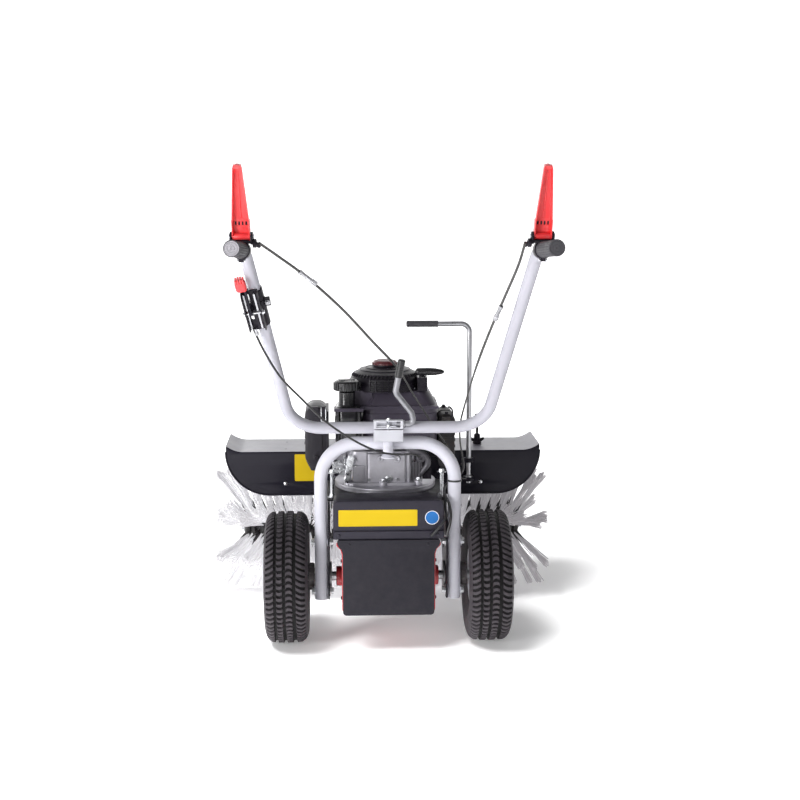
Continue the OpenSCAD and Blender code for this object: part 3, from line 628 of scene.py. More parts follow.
def tube(g, pts, r, n=24, mat=0, cap=True, wall=0.0, rs=None):
    """round tube along points; wall > 0 makes it hollow with open ends"""
    P = np.array(pts, float)
    k = len(P)
    T = np.zeros_like(P)
    T[1:-1] = P[2:] - P[:-2]
    T[0], T[-1] = P[1] - P[0], P[-1] - P[-2]
    T /= np.linalg.norm(T, axis=1)[:, None]
    ref = np.array([0, 0, 1.0]) if abs(T[0][2]) < 0.9 else np.array([0, 1.0, 0])
    u = np.cross(T[0], ref)
    u /= np.linalg.norm(u)
    rr = np.full(k, r, float) if rs is None else np.array(rs, float)
    V = []
    frames = []
    for i in range(k):
        u = u - T[i] * (u @ T[i])
        u /= np.linalg.norm(u)
        w = np.cross(T[i], u)
        frames.append((u.copy(), w))
    ang = 2 * pi * np.arange(n) / n
    ca, sa = np.cos(ang)[:, None], np.sin(ang)[:, None]
    for i in range(k):
        V.append(P[i] + rr[i] * (ca * frames[i][0] + sa * frames[i][1]))
    f = []
    for i in range(k - 1):
        for s in range(n):
            t = (s + 1) % n
            f.append((i * n + s, i * n + t, (i + 1) * n + t, (i + 1) * n + s))
    if wall > 0:
        for i in range(k):
            V.append(P[i] + (rr[i] - wall) * (ca * frames[i][0] + sa * frames[i][1]))
        o = k * n
        for i in range(k - 1):
            for s in range(n):
                t = (s + 1) % n
                f.append((o + i * n + t, o + i * n + s, o + (i + 1) * n + s, o + (i + 1) * n + t))
        for s in range(n):
            t = (s + 1) % n
            f.append((t, s, o + s, o + t))
            e = (k - 1) * n
            f.append((e + s, e + t, o + e + t, o + e + s))
    elif cap:
        f.append(tuple(range(n - 1, -1, -1)))
        f.append(tuple(range((k - 1) * n, k * n)))
    g.add(np.vstack(V), f, mat)


def loft(g, rings, mat=0, cap0=True, cap1=True):
    """skin over rings of equal point count"""
    n = len(rings[0])
    v = np.vstack([np.asarray(r, float) for r in rings])
    f = []
    for i in range(len(rings) - 1):
        for s in range(n):
            t = (s + 1) % n
            f.append((i * n + s, i * n + t, (i + 1) * n + t, (i + 1) * n + s))
    if cap0:
        f.append(tuple(range(n - 1, -1, -1)))
    if cap1:
        f.append(tuple(range((len(rings) - 1) * n, len(rings) * n)))
    g.add(v, f, mat)


def bolt(g, o, d, af=13.0, h=6.0, mat=0, washer=True, shank=0.0, dome=False):
    """hexagon head with a chamfered crown, on a washer"""
    m = frame_to(o, d)
    z = 0.0
    if washer:
        lathe(g, [(af * 0.30, 0), (af * 0.86, 0), (af * 0.90, 0.3), (af * 0.90, 1.2), (af * 0.84, 1.6), (af * 0.30, 1.6)], n=28, mat=mat, T=m, closed=True)
        z = 1.5
    if dome:
        lathe(g, [(af * 0.62, z), (af * 0.62, z + h * 0.35), (af * 0.52, z + h * 0.72), (af * 0.30, z + h * 0.95), (0, z + h)], n=24, mat=mat, T=m)
    else:
        R = af / 2 / cos(pi / 6)
        rings = []
        for rr, hh, kind in ((R, z, 0), (R, z + h * 0.78, 0), (R * 0.90, z + h, 1), (R * 0.62, z + h, 1), (R * 0.56, z + h * 0.93, 1)):
            ring = []
            for i in range(24):
                a = 2 * pi * i / 24
                q = rr if kind else rr * cos(pi / 6) / cos((a % (pi / 3)) - pi / 6)
                ring.append((q * cos(a), q * sin(a), hh))
            rings.append(place(ring, m))
        loft(g, rings, mat)
    if shank > 0:
        lathe(g, [(0, -shank), (af * 0.24, -shank), (af * 0.29, -shank + 1), (af * 0.29, 0.2), (0, 0.2)], n=20, mat=mat, T=m)


def rot(ax, deg):
    return Matrix.Rotation(rad(deg), 4, ax)


def mv(x, y, z):
    return Matrix.Translation((x, y, z))


def mirror_verts(fn):
    """runs fn for the right side, then adds its mirror image for the left"""
    def run(g, *a, **k):
        sv, sf = g.n, len(g.f)
        fn(g, *a, **k)
        g.mirrored(sv, sf)
    return run


# ------------------------------------------------------------------ running gear
def tread_height(a, t, side):
    """tread depth pattern: a is the angle in block pitches, t runs -1..1 across the tread; 1 is the block top, 0 the groove floor"""
    h = np.ones_like(t)
    for c, w in ((-0.555, 0.062), (-0.075, 0.068), (0.45, 0.080)):
        d = np.abs(t - c)
        h = np.minimum(h, np.clip((d - w) / 0.028, 0, 1))
    row = np.where(t < -0.555, 0, np.where(t < -0.075, 1, np.where(t < 0.45, 2, 3)))
    mid = np.array([-0.80, -0.315, 0.1875, 0.745])[row]
    u = (t - mid) / np.array([0.22, 0.20, 0.22, 0.24])[row]
    off = np.array([0.0, 0.5, 0.25, 0.72])[row]
    bow = np.where(row == 1, -0.30 * (1 - u * u), np.where(row == 2, 0.34 * (1 - u * u), np.where(row == 0, 0.34 * u + 0.12 * u * u, -0.34 * u + 0.12 * u * u)))
    ph = (a + off + bow) % 1.0
    d = np.abs(ph - 0.5)
    reach = np.where((row == 0) | (row == 3), 1.35, 0.95)
    wide = 0.17 * np.clip((reach - np.abs(u)) / 0.25, 0, 1)
    cut = np.clip((d - wide) / 0.07, 0, 1)
    cut = np.where(wide < 0.01, 1.0, cut)
    return np.minimum(h, np.maximum(cut, 0.08))


def tyre(name, side, body, node):
    blocks, per = 68, 11
    n = blocks * per
    r0 = 172.0
    tread = np.linspace(-1, 1, 97)
    X, R, wgt = [], [], []
    # sidewall from the bead outwards, then the tread, then the other sidewall
    wall = [(38.0, 81.0), (41.0, 82.5), (45.0, 87.0), (50.0, 96.0), (54.0, 104.0), (56.2, 107.5), (55.9, 109.5), (57.6, 113.0), (58.8, 121.0),
            (58.9, 129.0), (58.2, 136.0), (58.6, 138.0), (58.0, 140.5), (56.6, 144.5), (54.6, 149.0), (52.2, 153.0)]
    wall = [(38 + (x - 38) * 0.89, 81 + (r - 81) * 1.083) for x, r in wall]
    for x, r in wall:
        X.append(-x); R.append(r); wgt.append(-9.0)
    for t in tread:
        x = 48.0 * t
        r = r0 - 0.4 - 3.2 * t * t - 6.0 * max(0.0, abs(t) - 0.80) ** 1.2 / 0.145
        X.append(x); R.append(r); wgt.append(t)
    for x, r in reversed(wall):
        X.append(x); R.append(r); wgt.append(-9.0)
    X, R, wgt = np.array(X), np.array(R), np.array(wgt)
    ang = 2 * pi * np.arange(n) / n
    A = (np.arange(n) / per)[:, None]
    T = np.broadcast_to(wgt[None, :], (n, len(wgt)))
    H = tread_height(A, np.where(T < -2, 0.0, T), side)
    depth = np.where(T < -2, 0.0, (1 - H) * 6.2)
    rr = R[None, :] - depth
    g = Geo()
    V = np.stack([np.broadcast_to(X[None, :], rr.shape) + side * 262.0, rr * np.cos(ang)[:, None], rr * np.sin(ang)[:, None] + 157.0], -1)
    m = len(wgt)
    i = np.arange(n)[:, None]
    j = np.arange(m - 1)[None, :]
    i2 = (i + 1) % n
    F = np.stack([i * m + j, i * m + j + 1, i2 * m + j + 1, i2 * m + j], -1).reshape(-1, 4)
    g.v.append(V.reshape(-1, 3)); g.n = n * m
    g.f = F.tolist(); g.m = [0] * len(g.f)
    # inner face that seats on the rim
    lathe(g, [(81.0, -38.0), (79.7, -36.0), (79.7, 36.0), (81.0, 38.0)], o=(side * 262.0, 0, 157), d=(1, 0, 0), n=96)
    # painted shade: the tread height is stored per vertex so the material can darken the groove floors to near black;
    # the sidewalls get a fixed 0.8
    shade = np.ones((g.n, 4))
    shade[:n * m, 0] = np.where(T < -2, 0.8, H).reshape(-1)
    return piece(name, g, ["tyre"], body, rep=[node], smooth=28, fix=True, attr=shade)


def rim(name, side, body, node):
    g = Geo()
    c = (side * 262.0, 0.0, 157.0)
    d = (side, 0, 0)     # outwards
    prof = fillet([(12.05, -48), (26, -48), (30, -45), (30, -8), (44, -5), (60, -16), (72, -20), (74, -42), (84, -43.5), (85, -41), (84.5, -38), (79.4, -36.5),
                   (77.5, -20), (77.5, 20), (79.4, 36.5), (84.5, 38), (85, 41), (84, 43.5), (74, 42), (72, -12), (60, -7), (44, 4), (30, 8), (30, 45), (26, 48), (12.05, 48)], 1.6, 3)
    lathe(g, prof, o=c, d=d, n=72, closed=True)
    m = frame_to(c, d)
    for k in range(4):
        a = rad(45 + 90 * k)
        p = m @ Vector((48 * cos(a), 48 * sin(a), 5.0))
        bolt(g, p, d, af=13, h=6, mat=1)
    lathe(g, [(0, 0), (3.6, 0), (3.6, 10), (4.4, 10.6), (4.4, 22), (3.4, 23.5), (0, 23.5)], o=m @ Vector((0, 66, -10)), d=Vector(d) + (m.to_3x3() @ Vector((0, 0.5, 0))), n=16, mat=2)
    # end washer and nut on the axle end
    bolt(g, m @ Vector((0, 0, 48.3)), d, af=26, h=6, mat=1)
    # grease ring where the hub meets the ratchet drum
    lathe(g, fillet([(31, -46), (33.5, -46), (33.5, -41), (31, -41)], 0.8, 2), o=c, d=d, n=48, mat=1, closed=True)
    return piece(name, g, ["rim", "zinc", "rubber"], body, rep=[node], smooth=35)


for s, nm in ((-1, "left"), (1, "right")):
    tyre("tread_tyre_" + nm, s, "wheel_" + nm, "tyre_" + nm)
    rim("wheel_rim_" + nm, s, "wheel_" + nm, "rim_" + nm)

g = Geo()
for s in (-1, 1):
    prof = fillet([(12.02, 0), (33, 0), (35, 2), (35, 14), (33, 16), (12.02, 16)], 0.8, 2)
    lathe(g, prof, o=(s * 191, 0, 157), d=(s, 0, 0), n=64, closed=True)
    for k in range(12):
        a = 2 * pi * k / 12
        rbox(g, (-2.2, 34, 3), (2.2, 36.2, 13), 0.6, 1, 0, mv(s * 191, 0, 157) @ rot("Y", 90 * s) @ rot("Z", math.degrees(a)))
    for k in range(3):
        a = rad(30 + 120 * k)
        bolt(g, (s * 190.8, 24 * cos(a), 157 + 24 * sin(a)), (-s, 0, 0), af=8, h=4, mat=1, washer=False)
piece("ratchet_drums", g, ["drum", "zinc"], "drive_axle", rep=["ratchet_hubs"])


# ------------------------------------------------------------------ frame tube and side bolts
g = Geo()
tube(g, path_bent([(-172, -45, 110), (-172, -45, 521), (172, -45, 521), (172, -45, 110)], [0, 95, 95, 0], 16), 17.0, 40, wall=2.6)
lathe(g, fillet([(7.05, 500), (13, 500), (13, 535.7), (7.05, 535.7)], 1.0, 2), o=(0, -84, 0), d=(0, 0, 1), n=40, closed=True)
rbox(g, (-6, -75, 503), (6, -59, 524), 1.5, 2)
# weld beads at both ends of the web
for y, r in ((-71.6, 2.6), (-61.5, 2.8)):
    for s in (-1, 1):
        pts = [(s * 6.6 + 0.5 * sin(k * 1.9), y + 0.4 * cos(k * 2.3), 504 + k * 1.25) for k in range(16)]
        tube(g, pts, r, 8, rs=[r * (0.86 + 0.22 * abs(sin(k * 1.3))) for k in range(16)])
# welded bolt bosses on the legs
for s in (-1, 1):
    for z in (130, 262):
        lathe(g, fillet([(5.4, 0), (10.5, 0), (10.5, 1.0), (9.0, 2.0), (5.4, 2.0)], 0.4, 1), o=(s * 187.4, -45, z), d=(s, 0, 0), n=28, closed=True)
        lathe(g, fillet([(5.4, 0), (10.5, 0), (10.5, 1.0), (9.0, 2.0), (5.4, 2.0)], 0.4, 1), o=(s * 156.6, -45, z), d=(-s, 0, 0), n=28, closed=True)
piece("frame_tube", g, ["grey"], "chassis", rep=["main_frame"], smooth=40)

g = Geo()
for s in (-1, 1):
    for z in (130, 262):
        bolt(g, (s * 189.4, -45, z), (s, 0, 0), af=16, h=7)
        bolt(g, (s * 150.4, -45, z), (-s, 0, 0), af=16, h=8)
        lathe(g, [(0, 0), (4.95, 0), (4.95, 40), (0, 40)], o=(s * 150, -45, z), d=(s, 0, 0), n=20)
    lathe(g, fillet([(0, 365), (5, 365), (5, 432), (0, 432)], 0.5, 1), o=(s * 143, 16, 0), n=24)
    for k in range(24):
        lathe(g, [(4.7, 0), (5.35, 0.8), (4.7, 1.6)], o=(s * 143, 16, 392 + 1.6 * k), n=18)
    bolt(g, (s * 143, 16, 430.5), (0, 0, 1), af=14, h=7)
    bolt(g, (s * 143, 16, 366), (0, 0, 1), af=14, h=7)
for x in (-78, 78):
    for y in (100, 240):
        bolt(g, (x, y, 380), (0, 0, 1), af=13, h=7)
        lathe(g, [(0, 352), (4, 352), (4, 381), (0, 381)], o=(x, y, 0), n=16)
        bolt(g, (x, y, 361), (0, 0, -1), af=13, h=8)
piece("frame_bolts", g, ["zinc"], "chassis", rep=["chassis_bolts"])


# ------------------------------------------------------------------ brush head
HH = 443.0      # half width of the hood


def lip(x):
    """how far the hood's end turns up at this X"""
    return 17.0 * np.clip((np.abs(x) - 396.0) / 47.0, 0, 1) ** 1.9


def hood_piece():
    prof, nrm = [], []
    for y in np.linspace(324.5, 500, 15):
        prof.append((y, 426.0)); nrm.append((0.0, 1.0))
    for a in np.linspace(90, 0, 25)[1:]:
        prof.append((500 + 150 * cos(rad(a)), 276 + 150 * sin(rad(a)))); nrm.append((cos(rad(a)), sin(rad(a))))
    prof, nrm = np.array(prof), np.array(nrm)
    xs = np.concatenate([np.linspace(-HH, -394, 15), np.linspace(-380, 380, 39), np.linspace(394, HH, 15)])
    # the two free corners of each turned-up end are rounded
    S, Xg = [], []
    m, n = len(xs), len(prof)
    outer, inner = np.zeros((m, n, 3)), np.zeros((m, n, 3))
    for i, x in enumerate(xs):
        e = float(lip(x))
        slope = (float(lip(x + 0.5)) - float(lip(x - 0.5)))
        k = 1 / math.sqrt(1 + slope * slope)
        for j in range(n):
            # near an end the sheet is trimmed back at the rear and front corners
            yy, zz = prof[j] + nrm[j] * e
            outer[i, j] = (x, yy, zz)
            sx = slope * k * 2.5 * (1 if x > 0 else 1)
            inner[i, j] = (x + sx, yy - nrm[j][0] * 2.5 * k, zz - nrm[j][1] * 2.5 * k)
    for i, x in enumerate(xs):
        t = max(0.0, (abs(x) - (HH - 12)) / 12.0)
        back = 12.0 * (1 - math.sqrt(max(0.0, 1 - t * t)))
        for A in (outer, inner):
            for j in range(5):
                A[i, j, 1] += back * (1 - j / 5.0)
            for j in range(5):
                q = n - 1 - j
                A[i, q, 2] += back * (1 - j / 5.0)
    g = Geo()
    V = np.concatenate([outer.reshape(-1, 3), inner.reshape(-1, 3)])
    o = m * n
    F = []
    for i in range(m - 1):
        for j in range(n - 1):
            a, b, c, d = i * n + j, (i + 1) * n + j, (i + 1) * n + j + 1, i * n + j + 1
            F.append((a, b, c, d))
            F.append((o + d, o + c, o + b, o + a))
    for i in range(m - 1):
        F.append((i * n, o + i * n, o + (i + 1) * n, (i + 1) * n))
        a, b = i * n + n - 1, (i + 1) * n + n - 1
        F.append((a, b, o + b, o + a))
    for j in range(n - 1):
        F.append((j, j + 1, o + j + 1, o + j))
        a = (m - 1) * n + j
        F.append((a + 1, a, o + a, o + a + 1))
    g.add(V, F)
    for y in (364, 464):
        lathe(g, [(7.0, 423.4), (7.0, 415), (6.0, 414), (0.0, 414)], o=(-276, y, 0), n=28, mat=1)
        lathe(g, [(4.6, 423.4), (4.6, 416), (0.0, 416)], o=(-276, y, 0), n=28, mat=1)
        lathe(g, [(4.6, 423.4), (7.0, 423.4)], o=(-276, y, 0), n=28, mat=1)
    ob = piece("hood_sheet", g, ["hood", "core"], "brush_head", rep=["hood"], smooth=40)
    drill(ob, [((-276, 364, 400), (0, 0, 1), 3.5, 60), ((-276, 464, 400), (0, 0, 1), 3.5, 60), ((274, 415, 400), (0, 0, 1), 4.0, 60)])
    md = ob.modifiers.new("edge", "BEVEL")
    md.width, md.segments, md.limit_method, md.angle_limit = 0.0008, 2, "ANGLE", rad(50)
    return ob


def drill(ob, holes):
    """real round holes: start point, direction, radius, depth"""
    cut = Geo()
    for p, d, r, h in holes:
        lathe(cut, [(0, 0), (r, 0), (r, h), (0, h)], o=p, d=d, n=32)
    me = bpy.data.meshes.new("cut")
    v = np.vstack(cut.v) / 1000.0
    v[:, 1] += OY / 1000.0
    v[:, 2] += OZ / 1000.0
    me.from_pydata(v.tolist(), [], cut.f)
    bm = bmesh.new(); bm.from_mesh(me); bmesh.ops.recalc_face_normals(bm, faces=bm.faces); bm.to_mesh(me); bm.free()
    c = bpy.data.objects.new("cut", me)
    scene.collection.objects.link(c)
    md = ob.modifiers.new("holes", "BOOLEAN")
    md.operation, md.object, md.solver = "DIFFERENCE", c, "EXACT"
    bpy.context.view_layer.update()
    new = bpy.data.meshes.new_from_object(ob.evaluated_get(bpy.context.evaluated_depsgraph_get()))
    ob.modifiers.remove(md)
    old = ob.data
    ob.data = new
    new.name = ob.name
    bpy.data.objects.remove(c)
    bpy.data.meshes.remove(me)
    new.polygons.foreach_set("use_smooth", np.ones(len(new.polygons), bool))
    new.set_sharp_from_angle(angle=rad(40))
    bpy.data.meshes.remove(old)


hood_piece()

# skirt: black sheet with big round lower corners, a notch for the drive and a rolled lower edge
g = Geo()
top = [(x, 425.6 + float(lip(x))) for x in np.concatenate([np.linspace(HH, 394, 12), [0], np.linspace(-394, -HH, 12)])]
low = []
R = 124.0
for a in np.linspace(180, 270, 20):
    low.append((-HH + R + R * cos(rad(a)), 302 + R + R * sin(rad(a))))
notch = fillet([(-112, 302), (-112, 395), (112, 395), (112, 302)], [0, 14, 14, 0], 5, closed=False)
right = [(-x, z) for x, z in reversed(low)]
outline = top + low + notch + right
plate(g, [outline, circ(-276, 335, 4, 20), circ(276, 335, 4, 20)], 323.0, 326.0, "y", 0.8, 2)
for s in (-1, 1):
    edge = [(s * HH, 324.2, 425.0)] + [(s * abs(x), 324.2, z) for x, z in low] + [(s * 116, 324.2, 302.0)]
    tube(g, edge, 3.0, 10)
    edge = [(s * 112, 324.2, 305.0), (s * 112, 324.2, 385)]
    tube(g, edge, 2.4, 10)
piece("skirt_sheet", g, ["black"], "brush_head", rep=["rear_skirt"], smooth=40)

# bolts of the brush head, with its big swivel nut
g = Geo()
for x in (-276, 276):
    bolt(g, (x, 322.9, 335), (0, -1, 0), af=9, h=4, washer=False, dome=True)
    bolt(g, (x, 334.2, 335), (0, 1, 0), af=13, h=6, shank=10)
hexo = [(34.6 * cos(pi / 3 * k), 330 + 34.6 * sin(pi / 3 * k)) for k in range(6)]
plate(g, [fillet(hexo, 2.0, 2), circ(0, 330, 25.1, 48)], 371.6, 380, "z", 1.2, 2)
piece("head_fasteners", g, ["zinc"], "brush_head", rep=["head_bolts"])

g = Geo()
for z in (342, 396):
    plate(g, [fillet([(226, 292), (254, 292), (254, 322.8), (226, 322.8)], [12, 12, 2, 2], 6), circ(240, 305, 6.4, 28)], z, z + 10, "z", 1.4, 3)
    for x in (231, 249):
        bolt(g, (x, 317, z + 10), (0, 0, 1), af=6, h=2.5, mat=1, washer=False, dome=True)
piece("rod_guides", g, ["black", "zinc"], "brush_head", rep=["lever_guides"])

g = Geo()
prof = [(0, 416), (4, 416)]
z = 417.0
while z < 500:
    prof += [(4.0, z), (3.4, z + 0.7)]
    z += 1.4
prof += [(4, 501), (4, 507)]
lathe(g, prof + [(0, 507)], o=(274, 415, 0), n=20)
lathe(g, fillet([(0, 503), (7, 503), (7.2, 505), (7, 512), (4.5, 515), (0, 515)], 1.2, 3, closed=False), o=(274, 415, 0), n=28, mat=1)
piece("hood_stud", g, ["exhaust", "plastic"], "brush_head", rep=["screw_stud"])

g = Geo()
lathe(g, fillet([(4.05, 427), (12, 427), (13, 428.5), (12.4, 432), (9.2, 438), (9, 453), (7, 456), (4.05, 456)], 1.0, 3), o=(274, 415, 0), n=36, closed=True)
for s in (-1, 1):
    wing = fillet([(s * 6, 433), (s * 13, 434), (s * 20, 439), (s * 21, 444), (s * 17, 446), (s * 11, 442.5), (s * 6, 442)], 2.0, 4)
    plate(g, [[(x + 274, zz) for x, zz in wing]], 411.6, 418.4, "y", 2.2, 3)
piece("wing_knob", g, ["plastic"], "wing_screw", rep=["wing_screw"])

# swivel lock rod with a soft grip
g = Geo()
pth = path_bent([(240, 305, 336), (240, 305, 409), (240, 305, 414), (240, 305, 788), (70, 305, 788)], [0, 0, 0, 24, 0], 14)
tube(g, pth, 6.3, 28, rs=[6.3, 6.3] + [7.3] * (len(pth) - 3) + [6.3])
lathe(g, fillet([(6.2, 352.4), (10, 352.4), (10, 358), (6.2, 358)], 0.8, 2), o=(240, 305, 0), n=32, closed=True)
piece("lock_rod", g, ["rod"], "lock_lever", rep=["lock_lever"], smooth=45)
g = Geo()
prof = [(0, 64), (5, 64), (8, 65), (9, 67.5)]
x = 69.0
while x < 146:
    prof += [(9.0, x), (9.0, x + 2.6), (8.45, x + 3.1), (8.45, x + 3.9), (9.0, x + 4.4)]
    x += 4.6
prof += [(9.0, 148.5), (9.4, 149.2), (9.4, 151.2), (8.6, 152), (6.35, 152)]
lathe(g, prof, o=(0, 305, 788), d=(1, 0, 0), n=32)
piece("lock_rod_grip", g, ["rubber"], "lock_lever", rep=["lock_grip"], smooth=40)

# ------------------------------------------------------------------ roller brush
RINGS = [52 + 27 * k for k in range(13)]


def brush_half(name, s):
    P0, P1, W, SH = [], [], [], []
    rings = [(x, 0) for x in RINGS] + [(394.0, 1)]
    r = np.random.default_rng(5 if s < 0 else 6)
    V, F, C = [], [], []
    base = 0
    for k, (x, last) in enumerate(rings):
        outer = k >= len(rings) - 3
        nt, ns = 7, (92 if not outer else (100 if s < 0 else 50))
        lean = 72.0 * max(0.0, (x - 110) / 284.0) ** 2.1
        for t in range(nt):
            # seven rows of bundles run the length of the roller, each row slightly wavy
            th0 = rad((101 if s < 0 else 109) + 360.0 / 7 * t) + 0.04 * sin(1.7 * k + t) + r.normal(0, 0.03)
            tl = lean + r.normal(0, 2.0 + 0.04 * lean)
            tw = r.normal(0, 0.03)
            # painted shade: the right half's bundles are darkened towards its outer end, standing in for the shade
            # there; the random factor in shade is the bristles' own tone
            side = 1.0 if s < 0 else 1.0 - 0.86 * min(1.0, max(0.0, (x - 190) / 130.0))
            shade = r.uniform(0.70, 1.0) * side
            a = np.stack([x + r.uniform(-4.0, 4.0, ns), np.full(ns, 39.0), th0 + r.uniform(-0.11, 0.11, ns)], 1)
            off = r.uniform(-1, 1, ns) * (15.0 if not outer else (13.0 if s < 0 else 6.0))
            reach = r.uniform(175, 185.4, ns)
            if tl > 20:
                reach = 39 + (reach - 39) * np.cos(np.arctan2(tl, 145)) ** 0.55
            bx = a[:, 0] + tl
            wd = (0.12 if s < 0 else 0.09) if not outer else (0.085 if s < 0 else 0.05)
            fan = np.clip(r.normal(0, wd, ns), -2 * wd, 2 * wd)
            b = np.stack([bx, reach, th0 + tw + fan], 1)
            wv = r.uniform(0, 2 * pi, ns)
            for q in range(ns):
                w = r.uniform(1.7, 2.4)
                for si, sg in enumerate((0.0, 0.24, 0.62, 1.0)):
                    e = sg ** 1.12
                    px = a[q, 0] + (b[q, 0] - a[q, 0]) * e + off[q] * sg ** 0.62 + 0.8 * sin(wv[q] + 7 * sg) * sg
                    px = min(px, 481.0)
                    pr = a[q, 1] + (b[q, 1] - a[q, 1]) * sg
                    pt = a[q, 2] + (b[q, 2] - a[q, 2]) * sg ** 0.9 + 0.005 * sin(wv[q] * 2 + 5 * sg)
                    ww = w * (1.0 - 0.30 * sg)
                    for c in range(3):
                        ph = 2 * pi * c / 3 + wv[q]
                        X = px + ww * cos(ph)
                        tt = pt + ww * sin(ph) / pr
                        V.append((s * max(39.0, min(X, 481.9)), 480 + pr * cos(tt), 171 + pr * sin(tt)))
                        C.append((min(1, max(0, shade + 0.22 * (r.random() - 0.5))) if c == 0 and si == 0 else C[-1][0], sg, 0, 1))
                for si in range(3):
                    o = base + 3 * si
                    for c in range(3):
                        d = (c + 1) % 3
                        F.append((o + c, o + d, o + 3 + d, o + 3 + c))
                F.append((base + 9, base + 10, base + 11))
                F.append((base + 2, base + 1, base))
                base += 12
    g = Geo()
    g.v.append(np.array(V)); g.n = len(V)
    g.f = [list(q) if s > 0 else list(reversed(q)) for q in F]
    g.m = [0] * len(F)
    return piece(name, g, ["bristle"], "brush", rep=["bristles"], smooth=60, fix=False, attr=C)


brush_half("bristle_rings_left", -1)
brush_half("bristle_rings_right", 1)

g = Geo()
for s in (-1, 1):
    prof = [(15.1, 37), (28, 37), (30, 39)]
    for x in RINGS:
        prof += [(30, x - 6), (38.5, x - 4.6), (40, x - 3.6), (40, x + 3.6), (38.5, x + 4.6), (30, x + 6)]
    prof += [(30, 384), (38, 386), (40, 388), (40, 398), (36, 400), (19, 400), (17.5, 401.5), (17.5, 403.6), (15.1, 403.6)]
    lathe(g, prof, o=(0, 480, 171), d=(s, 0, 0), n=56, closed=True)
    for x in RINGS + [394]:
        for k in range(16):
            a = rad(15 + 22.5 * k)
            T = mv(0, 480, 171) @ rot("X", math.degrees(a)) @ mv(s * x, 0, 0)
            rbox(g, (-3.2, -2.0, 37), (3.2, 2.0, 44), 0.6, 1, 0, T, taper=(0.7, 0.5))
    for i, x in enumerate(RINGS):
        tilt = 0.5 * max(0.0, (x - 110) / 284.0) ** 1.6
        for k in range(7):
            a = rad((101 if s < 0 else 109) - 14 + 360.0 / 7 * k)
            for da, h in ((0.0, 84), (0.36, 76)):
                base, tip = x + 13.5, x + 13.5 + (h - 30) * tilt
                rings = []
                for u, hw, tw in ((0.0, 6.2, 5.5), (0.35, 4.4, 4.0), (0.75, 1.9, 1.9), (1.0, 0.5, 0.6)):
                    rr = 30 + (h - 30) * u
                    cx = base + (tip - base) * u
                    aa = a + da
                    er, et = np.array([0, cos(aa), sin(aa)]), np.array([0, -sin(aa), cos(aa)])
                    c = np.array([s * cx, 480, 171]) + er * rr
                    ex = np.array([1.0, 0, 0])
                    rings.append([c + ex * hw * cos(q) + et * tw * sin(q) for q in np.linspace(0, 2 * pi, 9)[:-1]])
                loft(g, rings, 0)
piece("brush_core_rings", g, ["core"], "brush", rep=["brush_cores"], smooth=40)

g = Geo()
lathe(g, fillet([(0, -404), (15, -404), (15, 404), (0, 404)], 0.6, 1, closed=False), o=(0, 480, 171), d=(1, 0, 0), n=36)
for s in (-1, 1):
    bolt(g, (s * 404, 480, 171), (s, 0, 0), af=17, h=8)
piece("brush_axle", g, ["zinc"], "brush", rep=["brush_shaft"])


# ------------------------------------------------------------------ handlebar group
GD = np.array([0.0868, -0.9924, 0.0872])
g = Geo()
hb = [np.array([337, -356, 1030.0]) + GD * 179.0, (337, -356, 1030), (243.5, -84, 568), (-243.5, -84, 568), (-337, -356, 1030),
      np.array([-337, -356, 1030.0]) + GD * np.array([-1, 1, 1]) * 179.0]
tube(g, path_bent(hb, [0, 55, 90, 90, 55, 0], 18), 15.0, 40, wall=2.0)
# painted shade: the bar tube uses the darker copy of the powder coat
piece("bar_tube", g, ["greyh"], "handlebar", rep=["handlebar"], smooth=50)

GR = mv(339.53, -384.88, 1032.54) @ rot("Z", 5) @ rot("X", -5)


@mirror_verts
def grip(g):
    T = GR @ rot("X", 90)
    prof = [(15.05, 28), (18.4, 28), (19, 28.7), (19, 32.3), (18.3, 33.2)]
    y = 34.0
    while y < 144:
        prof += [(17.6, y), (17.6, y + 2.9), (16.5, y + 3.5), (16.5, y + 4.6), (17.6, y + 5.2)]
        y += 5.4
    prof += [(17.4, 147), (18.4, 147.6), (19, 148.4), (19, 152), (18.0, 153.6), (16.6, 154.0)]
    lathe(g, prof, n=44, T=T)
    prof = [(16.6, 154.0), (15.4, 154.0), (14.8, 153.2), (13.2, 153.2), (12.6, 154.0),
             (9.4, 154.0), (8.8, 153.2), (7.0, 153.2), (6.4, 154.0), (2.4, 154.0), (1.8, 153.0), (0, 152.8)]
    lathe(g, prof, n=44, mat=1, T=T)
    # fine lengthwise bars moulded on the grip
    for k in range(20):
        a = 2 * pi * k / 20
        rbox(g, (17.0, -0.9, 36), (18.1, 0.9, 145), 0.4, 1, 0, T @ rot("Z", math.degrees(a)))


g = Geo()
grip(g)
gv = np.vstack(g.v)
# painted highlight: the left grip's end face takes the light grey finish, while the right one keeps the plain rubber
g.m = [0 if m == 1 and gv[f[0]][0] > 0 else m for f, m in zip(g.f, g.m)]
piece("ribbed_grips", g, ["rubber", "grip_end_painted_highlight"], "handlebar", rep=["hand_grips"], smooth=40)


